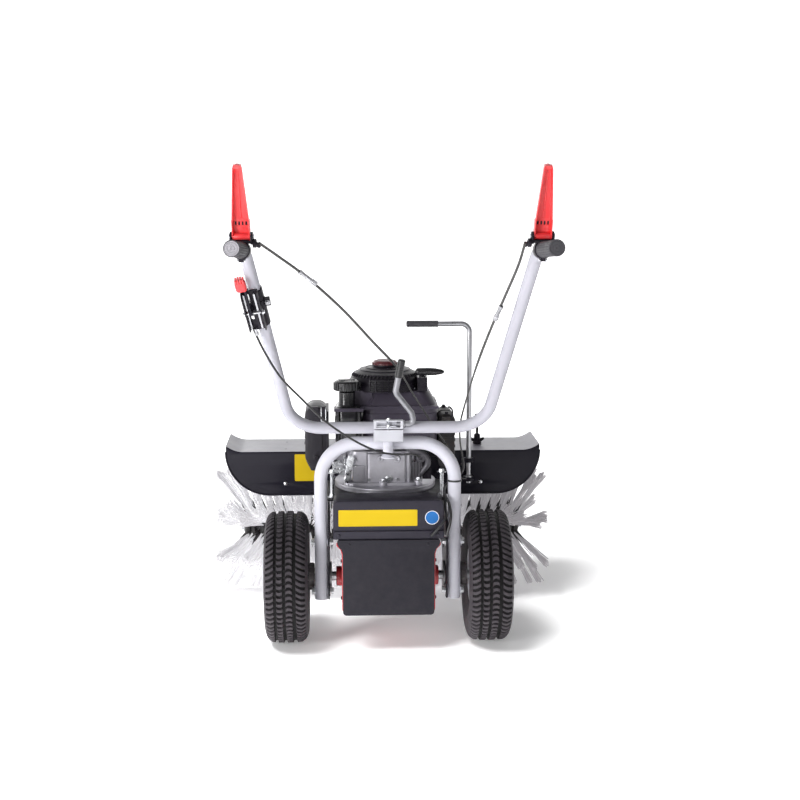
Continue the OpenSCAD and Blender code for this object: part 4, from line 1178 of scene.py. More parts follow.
@mirror_verts
def bracket(g):
    T = GR @ rot("X", 90)
    lathe(g, fillet([(15.05, 2), (20, 2), (21, 3), (21, 23), (20, 24), (15.05, 24)], 0.6, 2), n=44, T=T, closed=True)
    rbox(g, (-26, -24, 15.2), (26, -2, 20.5), 1.5, 2, 0, GR)
    rbox(g, (-23, -1.9, 16), (23, -0.2, 36), 0.6, 1, 0, GR)
    for x in (-26, 21.6):
        lp = fillet([(-24, 13), (-2, 13), (-2, 31), (-4, 40), (-13, 42.2), (-22, 40), (-24, 31)], [1, 1, 2, 6, 8, 6, 2], 5)
        plate(g, [lp, circ(-13, 31, 4.1, 24)], x, x + 4.4, "x", 0.9, 2, 0, GR)
    # clamp ears with a bolt under the tube, and the barrel that takes the cable
    rbox(g, (-5.5, -19, -26.5), (5.5, -7, -19), 1.6, 2, 0, GR)
    lathe(g, fillet([(0, 26), (9.5, 26), (10, 27), (10, 33), (8.5, 34), (0, 34)], 0.5, 2, closed=False), n=32, T=GR @ mv(0, -13, 16) @ rot("Y", -90))
    lathe(g, fillet([(0, 0), (5.0, 0), (5.0, 16), (3.6, 22), (0, 22)], 0.6, 2, closed=False), n=24, o=GR @ Vector((-31, -16, 17)), d=(-0.33, 0.62, -0.34))
    bolt(g, GR @ Vector((5.6, -13, -23)), GR.to_3x3() @ Vector((1, 0, 0)), af=6, h=3, mat=1)
    bolt(g, GR @ Vector((-5.6, -13, -23)), GR.to_3x3() @ Vector((-1, 0, 0)), af=6, h=3, mat=1, washer=False)


g = Geo()
bracket(g)
piece("lever_mounts", g, ["plastic", "zinc"], "handlebar", rep=["lever_brackets"])

AR = mv(-311.702, -282.407, 905) @ rot("X", 30.4867) @ rot("Y", -9.8929)
g = Geo()


@mirror_verts
def pins(g):
    for x0, x1 in ((-29, 29),):
        lathe(g, fillet([(0, -29), (4, -29), (4, 29), (0, 29)], 0.8, 2, closed=False), n=24, T=GR @ mv(0, -13, 31) @ rot("Y", 90))
        for x in (-28.8, 26.4):
            lathe(g, fillet([(4.0, 0), (6.2, 0), (6.2, 2.2), (4.0, 2.2)], 0.4, 2), n=24, T=GR @ mv(x, -13, 31) @ rot("Y", 90), closed=True)


pins(g)
lathe(g, fillet([(0, -34), (3, -34), (3, 12), (0, 12)], 0.6, 2, closed=False), n=20, T=AR @ mv(0, -29, -8) @ rot("Y", 90))
for x, d in ((-31.2, -1), (9.2, 1)):
    bolt(g, AR @ Vector((x, -29, -8)), AR.to_3x3() @ Vector((d, 0, 0)), af=8, h=4, washer=True)
piece("pivot_pins", g, ["zinc"], "handlebar", rep=["lever_pins"])


def lever(name, body, node, s):
    T = GR @ mv(0, -13, 31) @ rot("X", -68)
    g = Geo()
    L = 168.0

    def section(y):
        k = max(0.0, min(1.0, (y - 28) / (L - 11 - 28)))
        w = 20.5 + (11 - 20.5) * k
        zt, zb, th = 8.5, -5.0, 2.6
        if y > L - 11:
            q = y - (L - 11)
            w = math.sqrt(max(0.5, 121.0 - q * q))
        ro = min(6.0, w * 0.5)
        ri = max(0.6, ro - th)
        pts = [(-w, zb)]
        for a in np.linspace(180, 90, 6):
            pts.append((-w + ro + ro * cos(rad(a)), zt - ro + ro * sin(rad(a))))
        for a in np.linspace(90, 0, 6):
            pts.append((w - ro + ro * cos(rad(a)), zt - ro + ro * sin(rad(a))))
        pts.append((w, zb))
        wi = max(0.3, w - th)
        pts.append((wi, zb))
        for a in np.linspace(0, 90, 6):
            pts.append((wi - ri + ri * cos(rad(a)), zt - th - ri + ri * sin(rad(a))))
        for a in np.linspace(90, 180, 6):
            pts.append((-wi + ri + ri * cos(rad(a)), zt - th - ri + ri * sin(rad(a))))
        pts.append((-wi, zb))
        return [(x, -y, z) for x, z in pts]

    ys = list(np.linspace(36, L - 11, 14)) + [L - 8.5, L - 6, L - 4, L - 2.4, L - 1.2, L - 0.5]
    loft(g, [place(section(y), T) for y in ys])
    # closed tip wall
    rbox(g, (-9.0, -(L - 2.0), -5), (9.0, -(L - 9), 7.5), 2.5, 2, 0, T)
    # side cheeks round the pin, cross bar and the bars of the cut-out
    for x in (-20.5, 17.7):
        lp = fillet([(8.4, -6), (8.4, 6.5), (0, 8.6), (-40, 8.4), (-40, -5), (-12, -7.5), (0, -8.6)], [5, 5, 6, 2, 0.5, 6, 6], 4)
        plate(g, [lp, circ(0, 0, 4.05, 24)], x, x + 2.8, "x", 0.7, 2, 0, T)
    rbox(g, (-18.5, -25, 5.4), (18.5, -20, 8.4), 0.9, 2, 0, T)
    for x in (-18, -9.5, -1.6, 6.3, 14.2):
        rbox(g, (x, -38, 5.6), (x + 3.6, -21, 8.3), 0.7, 2, 0, T)
    rbox(g, (-18.5, -40, 5.5), (18.5, -34, 8.4), 0.9, 2, 0, T)
    # painted shade: a thin black sheet under the window bars makes the cut-out windows read dark, standing in for shade
    rbox(g, (-17.6, -37.5, 7.4), (17.6, -22, 8.0), 0.2, 1, 1, T)
    rbox(g, (-18.2, -39.5, 7.95), (18.2, -20.5, 8.75), 0.3, 1, 0, T)
    rbox(g, (-17.8, -23.0, 5.6), (17.8, -2.0, 8.2), 0.7, 2, 0, T)
    # raised rib down the inside and hub tube
    rbox(g, (-1.3, -150, 3.9), (1.3, -44, 6.2), 0.6, 2, 0, T)
    lathe(g, fillet([(4.06, -20.4), (7.6, -20.4), (7.6, 20.4), (4.06, 20.4)], 0.6, 2), n=28, T=T @ rot("Y", 90), closed=True)
    if s < 0:
        v = np.vstack(g.v); v[:, 0] *= -1; g.v = [v]
    piece(name, g, ["redplastic", "plastic"], body, rep=[node], smooth=38)


lever("lever_moulding_right", "clutch_lever_right", "clutch_lever_right", 1)
lever("lever_moulding_left", "clutch_lever_left", "clutch_lever_left", -1)

# throttle control on the left arm
g = Geo()
plate(g, [rrect(-31, -64, 9, 50, 9), rrect(-21, -34, -13, 40, 3.9)], -18.5, -15.6, "y", 0.8, 2, 0, AR)
for x in (-31, 6.6):
    lp = fillet([(-36, -60), (-15.6, -64), (-15.6, 50), (-30, 50), (-36, 40)], [9, 1, 1, 8, 8], 5)
    plate(g, [lp, circ(-29, -8, 3.1, 20)], x, x + 2.4, "x", 0.8, 2, 0, AR)
lathe(g, fillet([(15.05, -12), (18.6, -12), (19, -11), (19, 11), (18.6, 12), (15.05, 12)], 0.4, 2), n=44, T=AR, closed=True)
rbox(g, (-27, -17, -11.5), (-6, -14.5, 11.5), 1.0, 2, 0, AR)
rbox(g, (15, -5, -10), (29, 5, 10), 1.5, 2, 0, AR)
bolt(g, AR @ Vector((22.5, -5.1, 0)), AR.to_3x3() @ Vector((0, -1, 0)), af=8, h=4, mat=1)
lathe(g, fillet([(15.05, -60), (17.4, -60), (17.8, -58), (17.8, 40), (17.4, 42), (15.05, 42)], 0.4, 2), n=44, T=AR, closed=True)
for x in (-27.6, -2.4):
    plate(g, [rrect(x, -57, x + 4.6, 44, 2.0)], -27.0, -25.4, "y", 0.5, 2, 1, AR)
    for z in (-52, 40):
        rbox(g, (x + 0.6, -25.6, z - 2), (x + 4.0, -18.2, z + 2), 0.5, 1, 1, AR)
lathe(g, [(0, -55), (3.2, -55), (3.2, -66), (4.6, -67), (4.6, -73), (3.3, -74), (0, -74)][::-1], T=AR @ mv(-17, -26, 0), n=20, mat=1)
piece("throttle_mount", g, ["plastic", "rod"], "handlebar", rep=["throttle_bracket"])

g = Geo()
plate(g, [fillet([(-33.4, -14), (-24.6, -14), (-24.6, 66), (-33.4, 66)], [4.3, 4.3, 1, 1], 5), circ(-29, -8, 3.06, 20)], -19.4, -14.6, "x", 0.7, 2, 1, AR)
lathe(g, fillet([(3.06, -22), (6, -22), (6, -12), (3.06, -12)], 0.5, 2), n=24, T=AR @ mv(0, -29, -8) @ rot("Y", 90), closed=True, mat=1)
# finger pad: a rounded body with three grooves across its outer end
lp = rrect(-13, -9, 13, 9, 6.5, 8)


def padring(k, z, dx=0.0):
    return place([(x * k + dx, y * k, z) for x, y in lp], AR @ mv(-24, -29, 0))


loft(g, [padring(0.84, 60), padring(0.95, 61.5), padring(1.0, 64), padring(1.0, 80), padring(0.94, 84.5)])
for i, x in enumerate((-10.6, -5.0, 0.6, 6.2)):
    h = 94.0 - 0.5 * (i - 1.5) ** 2
    rbox(g, (x, -8.4 + 0.5 * abs(i - 1.5), 78), (x + 3.9, 8.4 - 0.5 * abs(i - 1.5), h), 1.5, 3, 0, AR @ mv(-24, -29, 0))
piece("throttle_pad", g, ["redplastic", "black"], "throttle_lever", rep=["throttle_lever"], smooth=40)

# ------------------------------------------------------------------ clamp that holds the bar
def half(r, up, n=18):
    """half groove for the bar, met from the rear"""
    a0 = math.asin(1.5 / r)
    A = np.linspace(pi - a0 if up else pi + a0, a0 if up else 2 * pi - a0, n) if up else np.linspace(pi + a0, 2 * pi - a0, n)
    return [(-84 + r * cos(t), 568 + r * sin(t)) for t in A]


g = Geo()
lp = fillet([(-63.5, 536), (-63.5, 566.5)], 0, 1, closed=False)
body_pts = [(-112, 536), (-65.5, 536), (-63.5, 538), (-63.5, 566.5)] + list(reversed(half(15.06, False))) + [(-114, 566.5), (-114, 538)]
plate(g, [body_pts], -37, 37, "x", 1.0, 2)
piece("clamp_block", g, ["clamp"], "chassis", rep=["clamp_saddle"])
g = Geo()
base = [(-114, 569.5)] + half(15.06, True) + [(-60, 569.5)]
full = base + [(-60, 576), (-70, 585), (-88, 589), (-108, 592), (-114, 590)]
mid = base + [(-60, 576), (-70, 585), (-88, 589), (-108, 592), (-114, 590.5), (-114, 588), (-101.5, 588), (-101.5, 573), (-114, 573)]
plate(g, [full, circ(-106, 581, 5.7, 24)], -37, -30, "x", 0.9, 2)
plate(g, [mid], -30.4, 30.4, "x", 0.5, 2)
plate(g, [full, circ(-106, 581, 5.7, 24)], 30, 37, "x", 0.9, 2)
for z in (575.2, 586.0):
    rbox(g, (-30.5, -112.5, z - 1.3), (-4.6, -102, z + 1.3), 0.5, 2)
rbox(g, (4.6, -112.5, 573.9), (18.5, -102, 576.5), 0.5, 2)
piece("clamp_top", g, ["clamp"], "chassis", rep=["clamp_cap"])

g = Geo()
lathe(g, fillet([(0, 491), (7, 491), (7, 550), (0, 550)], 0.6, 2, closed=False), o=(0, -84, 0), n=32)
lathe(g, fillet([(0, 488.5), (10.5, 488.5), (19, 490.2), (19, 492.5), (10.4, 499.8), (0, 499.8)], 0.6, 2, closed=False), o=(0, -84, 0), n=48, mat=1)
prof = [(0, 551)]
z = 551.0
while z < 594:
    prof += [(4.0, z), (3.5, z + 0.7)]
    z += 1.4
lathe(g, prof + [(3.5, 594.5), (0, 596)], o=(0, -107, 0), n=20)
bolt(g, (0, -107, 590.4), (0, 0, 1), af=9, h=3.6)
bolt(g, (0, -107, 573), (0, 0, 1), af=9, h=4.5)
piece("clamp_hardware", g, ["zinc", "grey"], "chassis", rep=["clamp_fasteners"])

g = Geo()
pth = path_bent([(20, -106, 581), (42, -106, 581), (46, -106, 581), (64, -106, 581), (58, -107, 609), (17, -111, 662), (32, -117, 738)], [0, 0, 0, 11, 20, 20, 0], 10)
tube(g, pth, 7.4, 24, rs=[5.5, 5.5] + [7.4] * (len(pth) - 2))
lathe(g, fillet([(5.4, 37.4), (9.2, 37.4), (9.2, 41), (5.4, 41)], 0.5, 2), o=(0, -106, 581), d=(1, 0, 0), n=28, closed=True)
piece("clamp_rod", g, ["rodd"], "clamp_lever", rep=["clamp_lever"], smooth=50)
g = Geo()
a, b = np.array([24.5, -114, 700.0]), np.array([33.58, -117.632, 746.0])
L = float(np.linalg.norm(b - a))
prof = [(7.45, 0), (8.8, 0), (9.6, 1.0)]
x = 2.0
while x < L - 7:
    prof += [(9.6, x), (9.6, x + 2.3), (9.0, x + 2.8), (9.0, x + 3.6), (9.6, x + 4.1)]
    x += 4.3
prof += [(9.6, L - 3.2), (8.4, L - 1.0), (6.0, L), (0, L)]
lathe(g, prof, o=a, d=b - a, n=32)
piece("clamp_rod_grip", g, ["cable"], "clamp_lever", rep=["clamp_grip"], smooth=40)

# ------------------------------------------------------------------ cables curving between chassis and bar
ROUTE_L = [(-300.5, -401.7, 1050.2), (-258, -334, 1014), (-198, -280, 964), (-116, -222, 884), (-42, -160, 798), (22, -92, 722), (64, -62, 650), (112, -40, 572),
           (146, -18, 518), (178, -12, 466), (186, -16, 440), (172, -18, 420), (151, -24, 404), (146, -50, 390), (157, -94, 364), (157, -118, 334), (146, -124, 292)]
ROUTE_R = [(300.5, -401.7, 1050.2), (294, -334, 994), (270, -272, 914), (244, -214, 832), (219, -160, 744), (200, -104, 656), (186, -52, 574), (188, -22, 520),
           (196, -10, 470), (196, -9, 440), (174, -10, 412), (150, -14, 394), (146, -44, 379), (147, -88, 354), (147, -109, 342), (134, -120, 324), (108, -122, 294)]
ROUTE_T = [(-325.7, -267.4, 844), (-302, -262, 790), (-264, -250, 724), (-214, -242, 669), (-160, -222, 612), (-98, -180, 560), (-34, -138, 519),
           (16, -112, 504), (52, -70, 496), (70, -20, 484), (82, 30, 470), (88, 66, 458)]


def adjuster(g, a, b):
    a, b = np.array(a, float), np.array(b, float)
    L = float(np.linalg.norm(b - a))
    prof = [(3.4, 0), (5.4, 0), (6.0, 0.6), (6.0, 6), (5.0, 6.6)]
    x = 7.0
    while x < L - 15:
        prof += [(5.0, x), (4.5, x + 0.6)]
        x += 1.2
    prof += [(5.2, L - 14), (6.4, L - 13.4), (6.4, L - 1), (5.6, L), (3.4, L)]
    lathe(g, prof, o=a, d=b - a, n=20, mat=1, closed=True)


def two_tone(g, route):
    """a grey jacket above and a black sleeve over the lower run"""
    pts = catmull(route, 8)
    k = next(i for i, p in enumerate(pts) if p[2] < 468)
    tube(g, pts[:k + 1], 3.0, 12, rs=[3.3 if p[2] > 760 else max(2.2, 3.3 - (760 - p[2]) * 0.02) for p in pts[:k + 1]])
    tube(g, pts[k - 1:], 3.5, 12, mat=2)


BL = ("chassis", "handlebar", D(0, -84, 570), D(0, -330, 960))
g = Geo()
two_tone(g, ROUTE_L)
adjuster(g, (-214, -293, 978), (-176, -264, 946))
piece("drive_cable", g, ["cableg", "adj", "cable"], None, rep=["control_cables"], smooth=60, blend=BL)
g = Geo()
two_tone(g, ROUTE_R)
adjuster(g, (264, -258, 892), (252, -231, 856))
piece("brush_cable", g, ["cableg", "adj", "cable"], None, smooth=60, blend=BL)
g = Geo()
tube(g, catmull(ROUTE_T, 8), 2.7, 12)
piece("throttle_cable", g, ["cable"], None, smooth=60, blend=("chassis", "handlebar", D(0, -100, 510), D(0, -262, 832)))

g = Geo()
lathe(g, fillet([(17.1, 419), (18.6, 419), (18.6, 424), (17.1, 424)], 0.3, 1), o=(172, -45, 0), n=40, closed=True)
rbox(g, (186, -33, 418), (193, -25, 425.5), 1.0, 2)
rbox(g, (190, -29.5, 420.5), (204, -27.5, 422.5), 0.4, 1)
lathe(g, fillet([(3.2, -3), (4.4, -3), (4.4, 3), (3.2, 3)], 0.3, 1), o=(196, -10, 455), d=(0, 0.05, 1), n=16, closed=True)
piece("cable_tie", g, ["cable"], "chassis", rep=["cable_fittings"])


# ------------------------------------------------------------------ engine
def stack(g, rows, mat=0, k=8, cap0=True, cap1=True, T=None):
    """skin over rounded rectangles: rows of (x0, y0, x1, y1, radius, z)"""
    rings = []
    for x0, y0, x1, y1, r, z in rows:
        ring = [(x, y, z) for x, y in rrect(x0, y0, x1, y1, r, k)]
        rings.append(place(ring, T) if T is not None else ring)
    loft(g, rings, mat, cap0, cap1)


def inset(b, d, z, r=None):
    x0, y0, x1, y1, rr = b
    return (x0 + d, y0 + d, x1 - d, y1 - d, max(1.0, (rr if r is None else r) - d), z)


EY = 170.0


def clip_front(pts, y):
    """keeps the part of a ring behind y"""
    keep = [(p[0], min(p[1], y)) for p in pts]
    out = []
    for p in keep:
        if out and abs(p[0] - out[-1][0]) < 1e-9 and abs(p[1] - out[-1][1]) < 1e-9:
            continue
        out.append(p)
    return out


g = Geo()
# turned foot with fine steps at its edge
def foot(rr):
    return clip_front(circ(0, EY, rr, 128), 283)


for rr, z0, z1 in ((136, 365, 371), (134.4, 370.5, 373.5), (136, 373, 380)):
    plate(g, [foot(rr), circ(0, EY, 11.2, 40)], z0, z1, "z", 1.2, 3, 1)
b = (-104, 74, 84, 266, 20)
stack(g, [inset(b, 1.0, 380), inset(b, 0, 381), inset(b, 0, 387.4), inset(b, 1.4, 389)])
b = (-92, 92, 70, 262, 14)
stack(g, [inset(b, 0, 386), inset(b, 0, 464), inset(b, 1.5, 470), inset(b, 6, 472)])
# machined rear face with rounded sides, a seam and two bosses
b = (-50, 84, 54, 110, 7)
stack(g, [inset(b, 0, 389), inset(b, 0, 462), inset(b, 1.0, 465), inset(b, 3.0, 466)], mat=0)
rbox(g, (-56.5, 88, 389), (-52, 100, 468), 1.2, 2)
rbox(g, (-88, 86.5, 391), (-60, 96, 430), 2.0, 2)
rbox(g, (-90, 84.5, 428), (-58, 95, 433), 1.4, 2)
rbox(g, (56, 88, 389), (62, 98, 462), 2.0, 2)
for x, z, r in ((-14, 454, 8.0), (30, 452, 8.5)):
    lathe(g, fillet([(0, 0), (r + 1.5, 0), (r, 4), (r, 7), (r - 1, 8), (3.2, 8), (3.2, 4.5), (0, 4.5)], 0.4, 2, closed=False), o=(x, 86, z), d=(0, -1, 0), n=32)
# casting ribs on both flanks
for y in (112, 140, 168, 196, 224, 248):
    rbox(g, (-97, y, 389), (-90, y + 5, 466), 1.2, 2)
    rbox(g, (68, y, 389), (76, y + 5, 466), 1.2, 2)
prof = [(11.2, 470)]
for k in range(7):
    z = 474 + 12 * k
    prof += [(50, z), (56, z + 0.6), (56, z + 3.6), (50, z + 4.2)]
lathe(g, prof + [(50, 556), (11.2, 556)], o=(0, EY, 0), n=64, closed=True)
# lugs and bolts of the sump
for x, y in ((-100, 92), (86, 92), (-100, 248), (86, 248), (-8, 78), (-8, 262)):
    lathe(g, fillet([(0, 380), (10, 380), (11, 381), (11, 391), (9.5, 393), (0, 393)], 0.5, 2, closed=False), o=(x, y, 0), n=28)
    bolt(g, (x, y, 393), (0, 0, 1), af=10, h=6, mat=2)
# curved arm casting and boss on the right flank; painted shade: these take the dark aluminium copy and black moulding,
# as the flank lies in shade
tube(g, catmull([(58, 108, 474), (84, 100, 470), (106, 97, 456), (112, 98, 436), (100, 101, 416), (88, 106, 400)], 8), 9, 20, mat=4, rs=list(np.linspace(11, 6, 41)))
rbox(g, (64, 100, 392), (96, 112, 440), 4.0, 3, mat=4)
rbox(g, (78, 104, 440), (118, 120, 474), 4.0, 3, mat=3)
rbox(g, (98, 106, 392), (122, 122, 442), 4.0, 3, mat=3)
for x in (72, 80, 88):
    rbox(g, (x, 96, 396), (x + 3, 101, 444), 1.0, 2, mat=4)
lathe(g, fillet([(0, 0), (13, 0), (12, 10), (10, 12), (4, 12), (4, 8), (0, 8)], 0.6, 2, closed=False), o=(92, 98, 452), d=(0.2, -1, 0.1), n=32, mat=4)
bolt(g, (8, 84.5, 398), (0, -1, 0), af=11, h=6, mat=2)
for x in (-46, 30):
    bolt(g, (x, 84, 396), (0, -1, 0), af=7, h=4, mat=2, washer=False)
piece("crank_casting", g, ["alu", "turned", "zinc", "plastic", "alu_painted_shade"], "chassis", rep=["crankcase"], smooth=38)

# blower shroud: lower bowl, ledge, and a slanted upper panel that narrows towards the dome
g = Geo()
b = (-62, 78, 137, 262, 34)
stack(g, [inset(b, 6, 478), inset(b, 1.5, 479.5), inset(b, 0, 484), inset(b, 0, 586), inset(b, -1.2, 587), inset(b, -2.0, 588.5), inset(b, -2.0, 593),
          inset(b, -1.2, 595), inset(b, 2.5, 595.6), (-58, 84, 132, 258, 30, 600), (-46, 96, 117, 250, 30, 627), (-43, 99, 113, 247, 30, 630), (-38, 104, 108, 242, 26, 631)])
# seam grooves round the bowl and screws on the ledge
for z in (556, 574):
    lp = rrect(-62.6, 77.4, 137.6, 262.6, 34.4, 10)
    tube(g, [(x, y, z) for x, y in lp + lp[:1]], 1.1, 8, cap=False)
for x, y in ((-40, 82), (40, 80), (112, 82), (-40, 258), (112, 258), (134, 170)):
    bolt(g, (x, y, 595.2), (0, 0, 1), af=7, h=2.0, mat=0, washer=False)
rbox(g, (-137, 48, 586), (-60, 90, 594), 2.4, 3)
rbox(g, (-66, 74, 587), (139.2, 84, 595), 2.4, 3)
rbox(g, (-96, 96, 590), (-36, 200, 634), 8.0, 4)
rbox(g, (-86, 104, 626), (-60, 180, 650), 6.0, 4)
# slanted stiffeners on the rear panel
for x0, x1 in ((-40, -30), (24, 21), (98, 86)):
    tube(g, [(x0, 87.5, 600), (x1, 97.5, 628)], 1.6, 8)
# ribbed vent panel low on the rear face, behind the bar
for k in range(9):
    rbox(g, (-30 + 15 * k, 76.2, 520), (-24 + 15 * k, 80, 552), 1.0, 2)
# painted light: the shroud takes the lighter copy of the engine moulding
piece("blower_shroud", g, ["shroudp", "zinc"], "chassis", rep=["engine_shroud"], smooth=40)

# starter dome with a ring of slots on its shoulder and a slatted grille at the rear
g = Geo()
o = (0, EY, 630)
prof = fillet([(0, 0), (95, 0), (95, 22), (93.6, 27.5), (91, 33)], [0, 0.6, 2, 2, 0], 2, closed=False)
lathe(g, prof + [(88.0, 37.0), (85.6, 36.4), (81.6, 40.4), (82.6, 43.4), (78.0, 46.8)] + fillet([(78.0, 46.8), (65, 53), (45, 58), (36, 59.2), (35.4, 60)], [0, 3, 3, 1, 0], 3, closed=False) + [(0, 60)], o=o, n=112)
for k in range(52):
    a = 360.0 * k / 52
    T = mv(*o) @ rot("Z", a)
    tube(g, [T @ Vector((88.8, 0, 35.6)), T @ Vector((86.2, 0, 38.6)), T @ Vector((81.4, 0, 43.2))], 2.4, 8)
# painted shade: a near black ring under the shoulder slots, standing in for the shade inside them
lathe(g, fillet([(85.0, 35.4), (86.2, 36.6), (82.0, 40.8), (81.0, 40.0)], 0.1, 1), o=o, n=96, mat=1, closed=True)
for r, z in ((95.3, 2.6), (95.3, 20.5), (68, 52.2), (52, 56.8)):
    lathe(g, fillet([(r - 1.2, z - 1.0), (r + 0.5, z - 1.0), (r + 0.5, z + 1.0), (r - 1.2, z + 1.0)], 0.5, 2), o=o, n=112, closed=True)


def arc_bar(g, r, z, a0, a1, w, h, mat=0):
    rings = []
    for a in np.linspace(a0, a1, 14):
        c, s = cos(rad(a)), sin(rad(a))
        ring = [(rr * c, EY + rr * s, zz) for rr, zz in ((r - w, z - h), (r + w * 0.7, z - h), (r + w, z - h * 0.5), (r + w, z + h * 0.5), (r + w * 0.7, z + h), (r - w, z + h))]
        rings.append(ring)
    loft(g, rings, mat)


A0, A1 = -90 - 26, -90 + 14
for k in range(6):
    arc_bar(g, 95.6, 634.5 + 5.6 * k, A0, A1, 2.6, 1.2)
# painted shade: a near black sheet behind the grille slats, standing in for the shade behind them
arc_bar(g, 94.2, 648.0, A0 + 1, A1 - 1, 1.2, 14.0, 1)
for a in np.linspace(A0, A1, 5):
    arc_bar(g, 95.8, 648, a - 0.8, a + 0.8, 3.2, 17.0)
for a in np.linspace(-60, 210, 13):
    if A0 - 4 < a - 360 < A1 + 4:
        continue
    arc_bar(g, 95.4, 645, a - 4.5, a + 4.5, 1.0, 1.3)
    arc_bar(g, 95.4, 639, a - 4.5, a + 4.5, 1.0, 1.3)
# screw ears round the base
for a in (-150, -35, 20, 90, 160):
    c, s = cos(rad(a)), sin(rad(a))
    lathe(g, fillet([(0, 0), (8, 0), (8, 7), (6.6, 8), (0, 8)], 0.4, 2, closed=False), o=(92 * c, EY + 92 * s, 629), n=24)
    bolt(g, (94 * c, EY + 94 * s, 637), (0, 0, 1), af=6.5, h=2.6, mat=2, washer=False)
# guide block the rope runs through
rbox(g, (84, 96, 632), (110, 140, 668), 4.0, 3)
lathe(g, fillet([(4.2, 0), (8.6, 0), (8.6, 3.0), (4.2, 3.0)], 0.8, 2), o=(97, 104, 669), d=(0, -0.8, 0.6), n=28, closed=True)
bolt(g, (104, 96.2, 646), (0, -1, 0), af=6, h=3, mat=0, washer=False)
piece("starter_dome", g, ["plastic", "dark", "zinc"], "chassis", rep=["recoil_cover"], smooth=40)

g = Geo()
lathe(g, fillet([(0, 690), (33, 690), (34, 691), (34, 695), (0, 695)], 0.6, 2, closed=False), o=(0, EY, 0), n=72, mat=1)
lathe(g, fillet([(0, 694), (33.4, 694), (33.0, 699), (29, 704.6), (22, 706.4), (20, 705.6), (0, 705.8)], 1.2, 3, closed=False), o=(0, EY, 0), n=72)
for k in range(18):
    a = rad(20 * k)
    rbox(g, (-1.2, -1.5, 694.5), (1.2, 1.5, 700), 0.5, 1, 0, mv(33.2 * cos(a), EY + 33.2 * sin(a), 0) @ rot("Z", 20 * k))
piece("dome_cap", g, ["capred", "plastic"], "chassis", rep=["recoil_cap"], smooth=40)

g = Geo()
b = (-134, 52, -64, 160, 24)
stack(g, [inset(b, 7, 498), inset(b, 2, 499.6), inset(b, 0, 504), inset(b, 0, 553), inset(b, -1.4, 554), inset(b, -1.4, 559), inset(b, 0, 560), inset(b, 0, 588), inset(b, 1.4, 593), inset(b, 5, 596.8), inset(b, 12, 598)])
prof = [(0, 594), (26, 594), (22.5, 599), (21.4, 604), (21.4, 633), (17, 636)]
z = 638.0
while z < 653:
    prof += [(17.0, z), (16.2, z + 1.2)]
    z += 2.4
lathe(g, prof + [(16.6, 656), (0, 656)], o=(-103, 84, 0), n=44)
tube(g, catmull([(-90, 150, 502), (-92, 152, 488), (-102, 160, 476), (-116, 168, 466)], 6), 4.0, 14, mat=1)
for x in (-128, -72):
    rbox(g, (x - 3, 49.5, 508), (x + 3, 56, 586), 1.5, 2)
rbox(g, (-66, 90, 520), (-58, 110, 544), 2, 2)
piece("tank_moulding", g, ["plasticg", "cable"], "chassis", rep=["fuel_tank"], smooth=40)

g = Geo()
prof = fillet([(17.1, 638.4), (32.6, 638.4), (33.8, 639.6), (33.8, 658), (32, 662.6), (27, 665), (23, 664.2), (12, 664.2), (9, 665), (0, 665)], 0.8, 3, closed=False)
lathe(g, prof, o=(-103, 84, 0), n=72)
lathe(g, [(17.1, 638.4), (17.1, 658.5), (0, 658.6)], o=(-103, 84, 0), n=48)
for k in range(24):
    a = 15 * k
    rbox(g, (33.0, -2.4, 640), (35.8, 2.4, 659.5), 1.1, 2, 0, mv(-103, 84, 0) @ rot("Z", a))
rbox(g, (-22, -3.4, 663.4), (22, 3.4, 666.2), 1.2, 2, 0, mv(-103, 84, 0) @ rot("Z", 25))
piece("ribbed_fuel_cap", g, ["plasticg"], "fuel_cap", rep=["fuel_cap"], smooth=40)

# air filter box on the left with its cover seam, ribs and spring clip
g = Geo()
TY = Matrix(((1, 0, 0, 0), (0, 0, 1, 0), (0, 1, 0, 0), (0, 0, 0, 1)))
b = (-215, 430, -156, 589, 24)
stack(g, [inset(b, 8, 110), inset(b, 2.4, 111.5), inset(b, 0, 116), inset(b, 0, 172), inset(b, 1.2, 173), inset(b, 1.2, 175), inset(b, 0, 176), inset(b, 0, 230), inset(b, 2.4, 234.5), inset(b, 8, 236)], T=TY)
stack(g, [(-200, 112, -156, 234, 8, 416), (-212, 112, -156, 234, 8, 440), (-212, 112, -156, 234, 8, 470)], k=4)
rbox(g, (-160, 106, 424), (-152, 240, 578), 2.0, 2)
rbox(g, (-190, 107.4, 470), (-170, 112, 560), 2.0, 2)
for z in (486, 502, 518, 534, 550):
    rbox(g, (-216.6, 124, z), (-211, 222, z + 5), 1.6, 2)
rbox(g, (-172, 98, 564), (-158, 110, 592), 2.0, 2)
tube(g, path_bent([(-171, 100, 590), (-171, 95.5, 586), (-171, 95.5, 552), (-159, 95.5, 552), (-159, 95.5, 586), (-159, 100, 590)], [0, 3, 3, 3, 3, 0], 4), 1.4, 10, mat=1)
bolt(g, (-186, 109.8, 452), (0, -1, 0), af=9, h=5, mat=0)
rbox(g, (-199, 104, 580), (-180, 114, 590), 2, 2)
piece("filter_box", g, ["boxplastic", "zinc"], "chassis", rep=["air_filter"], smooth=40)

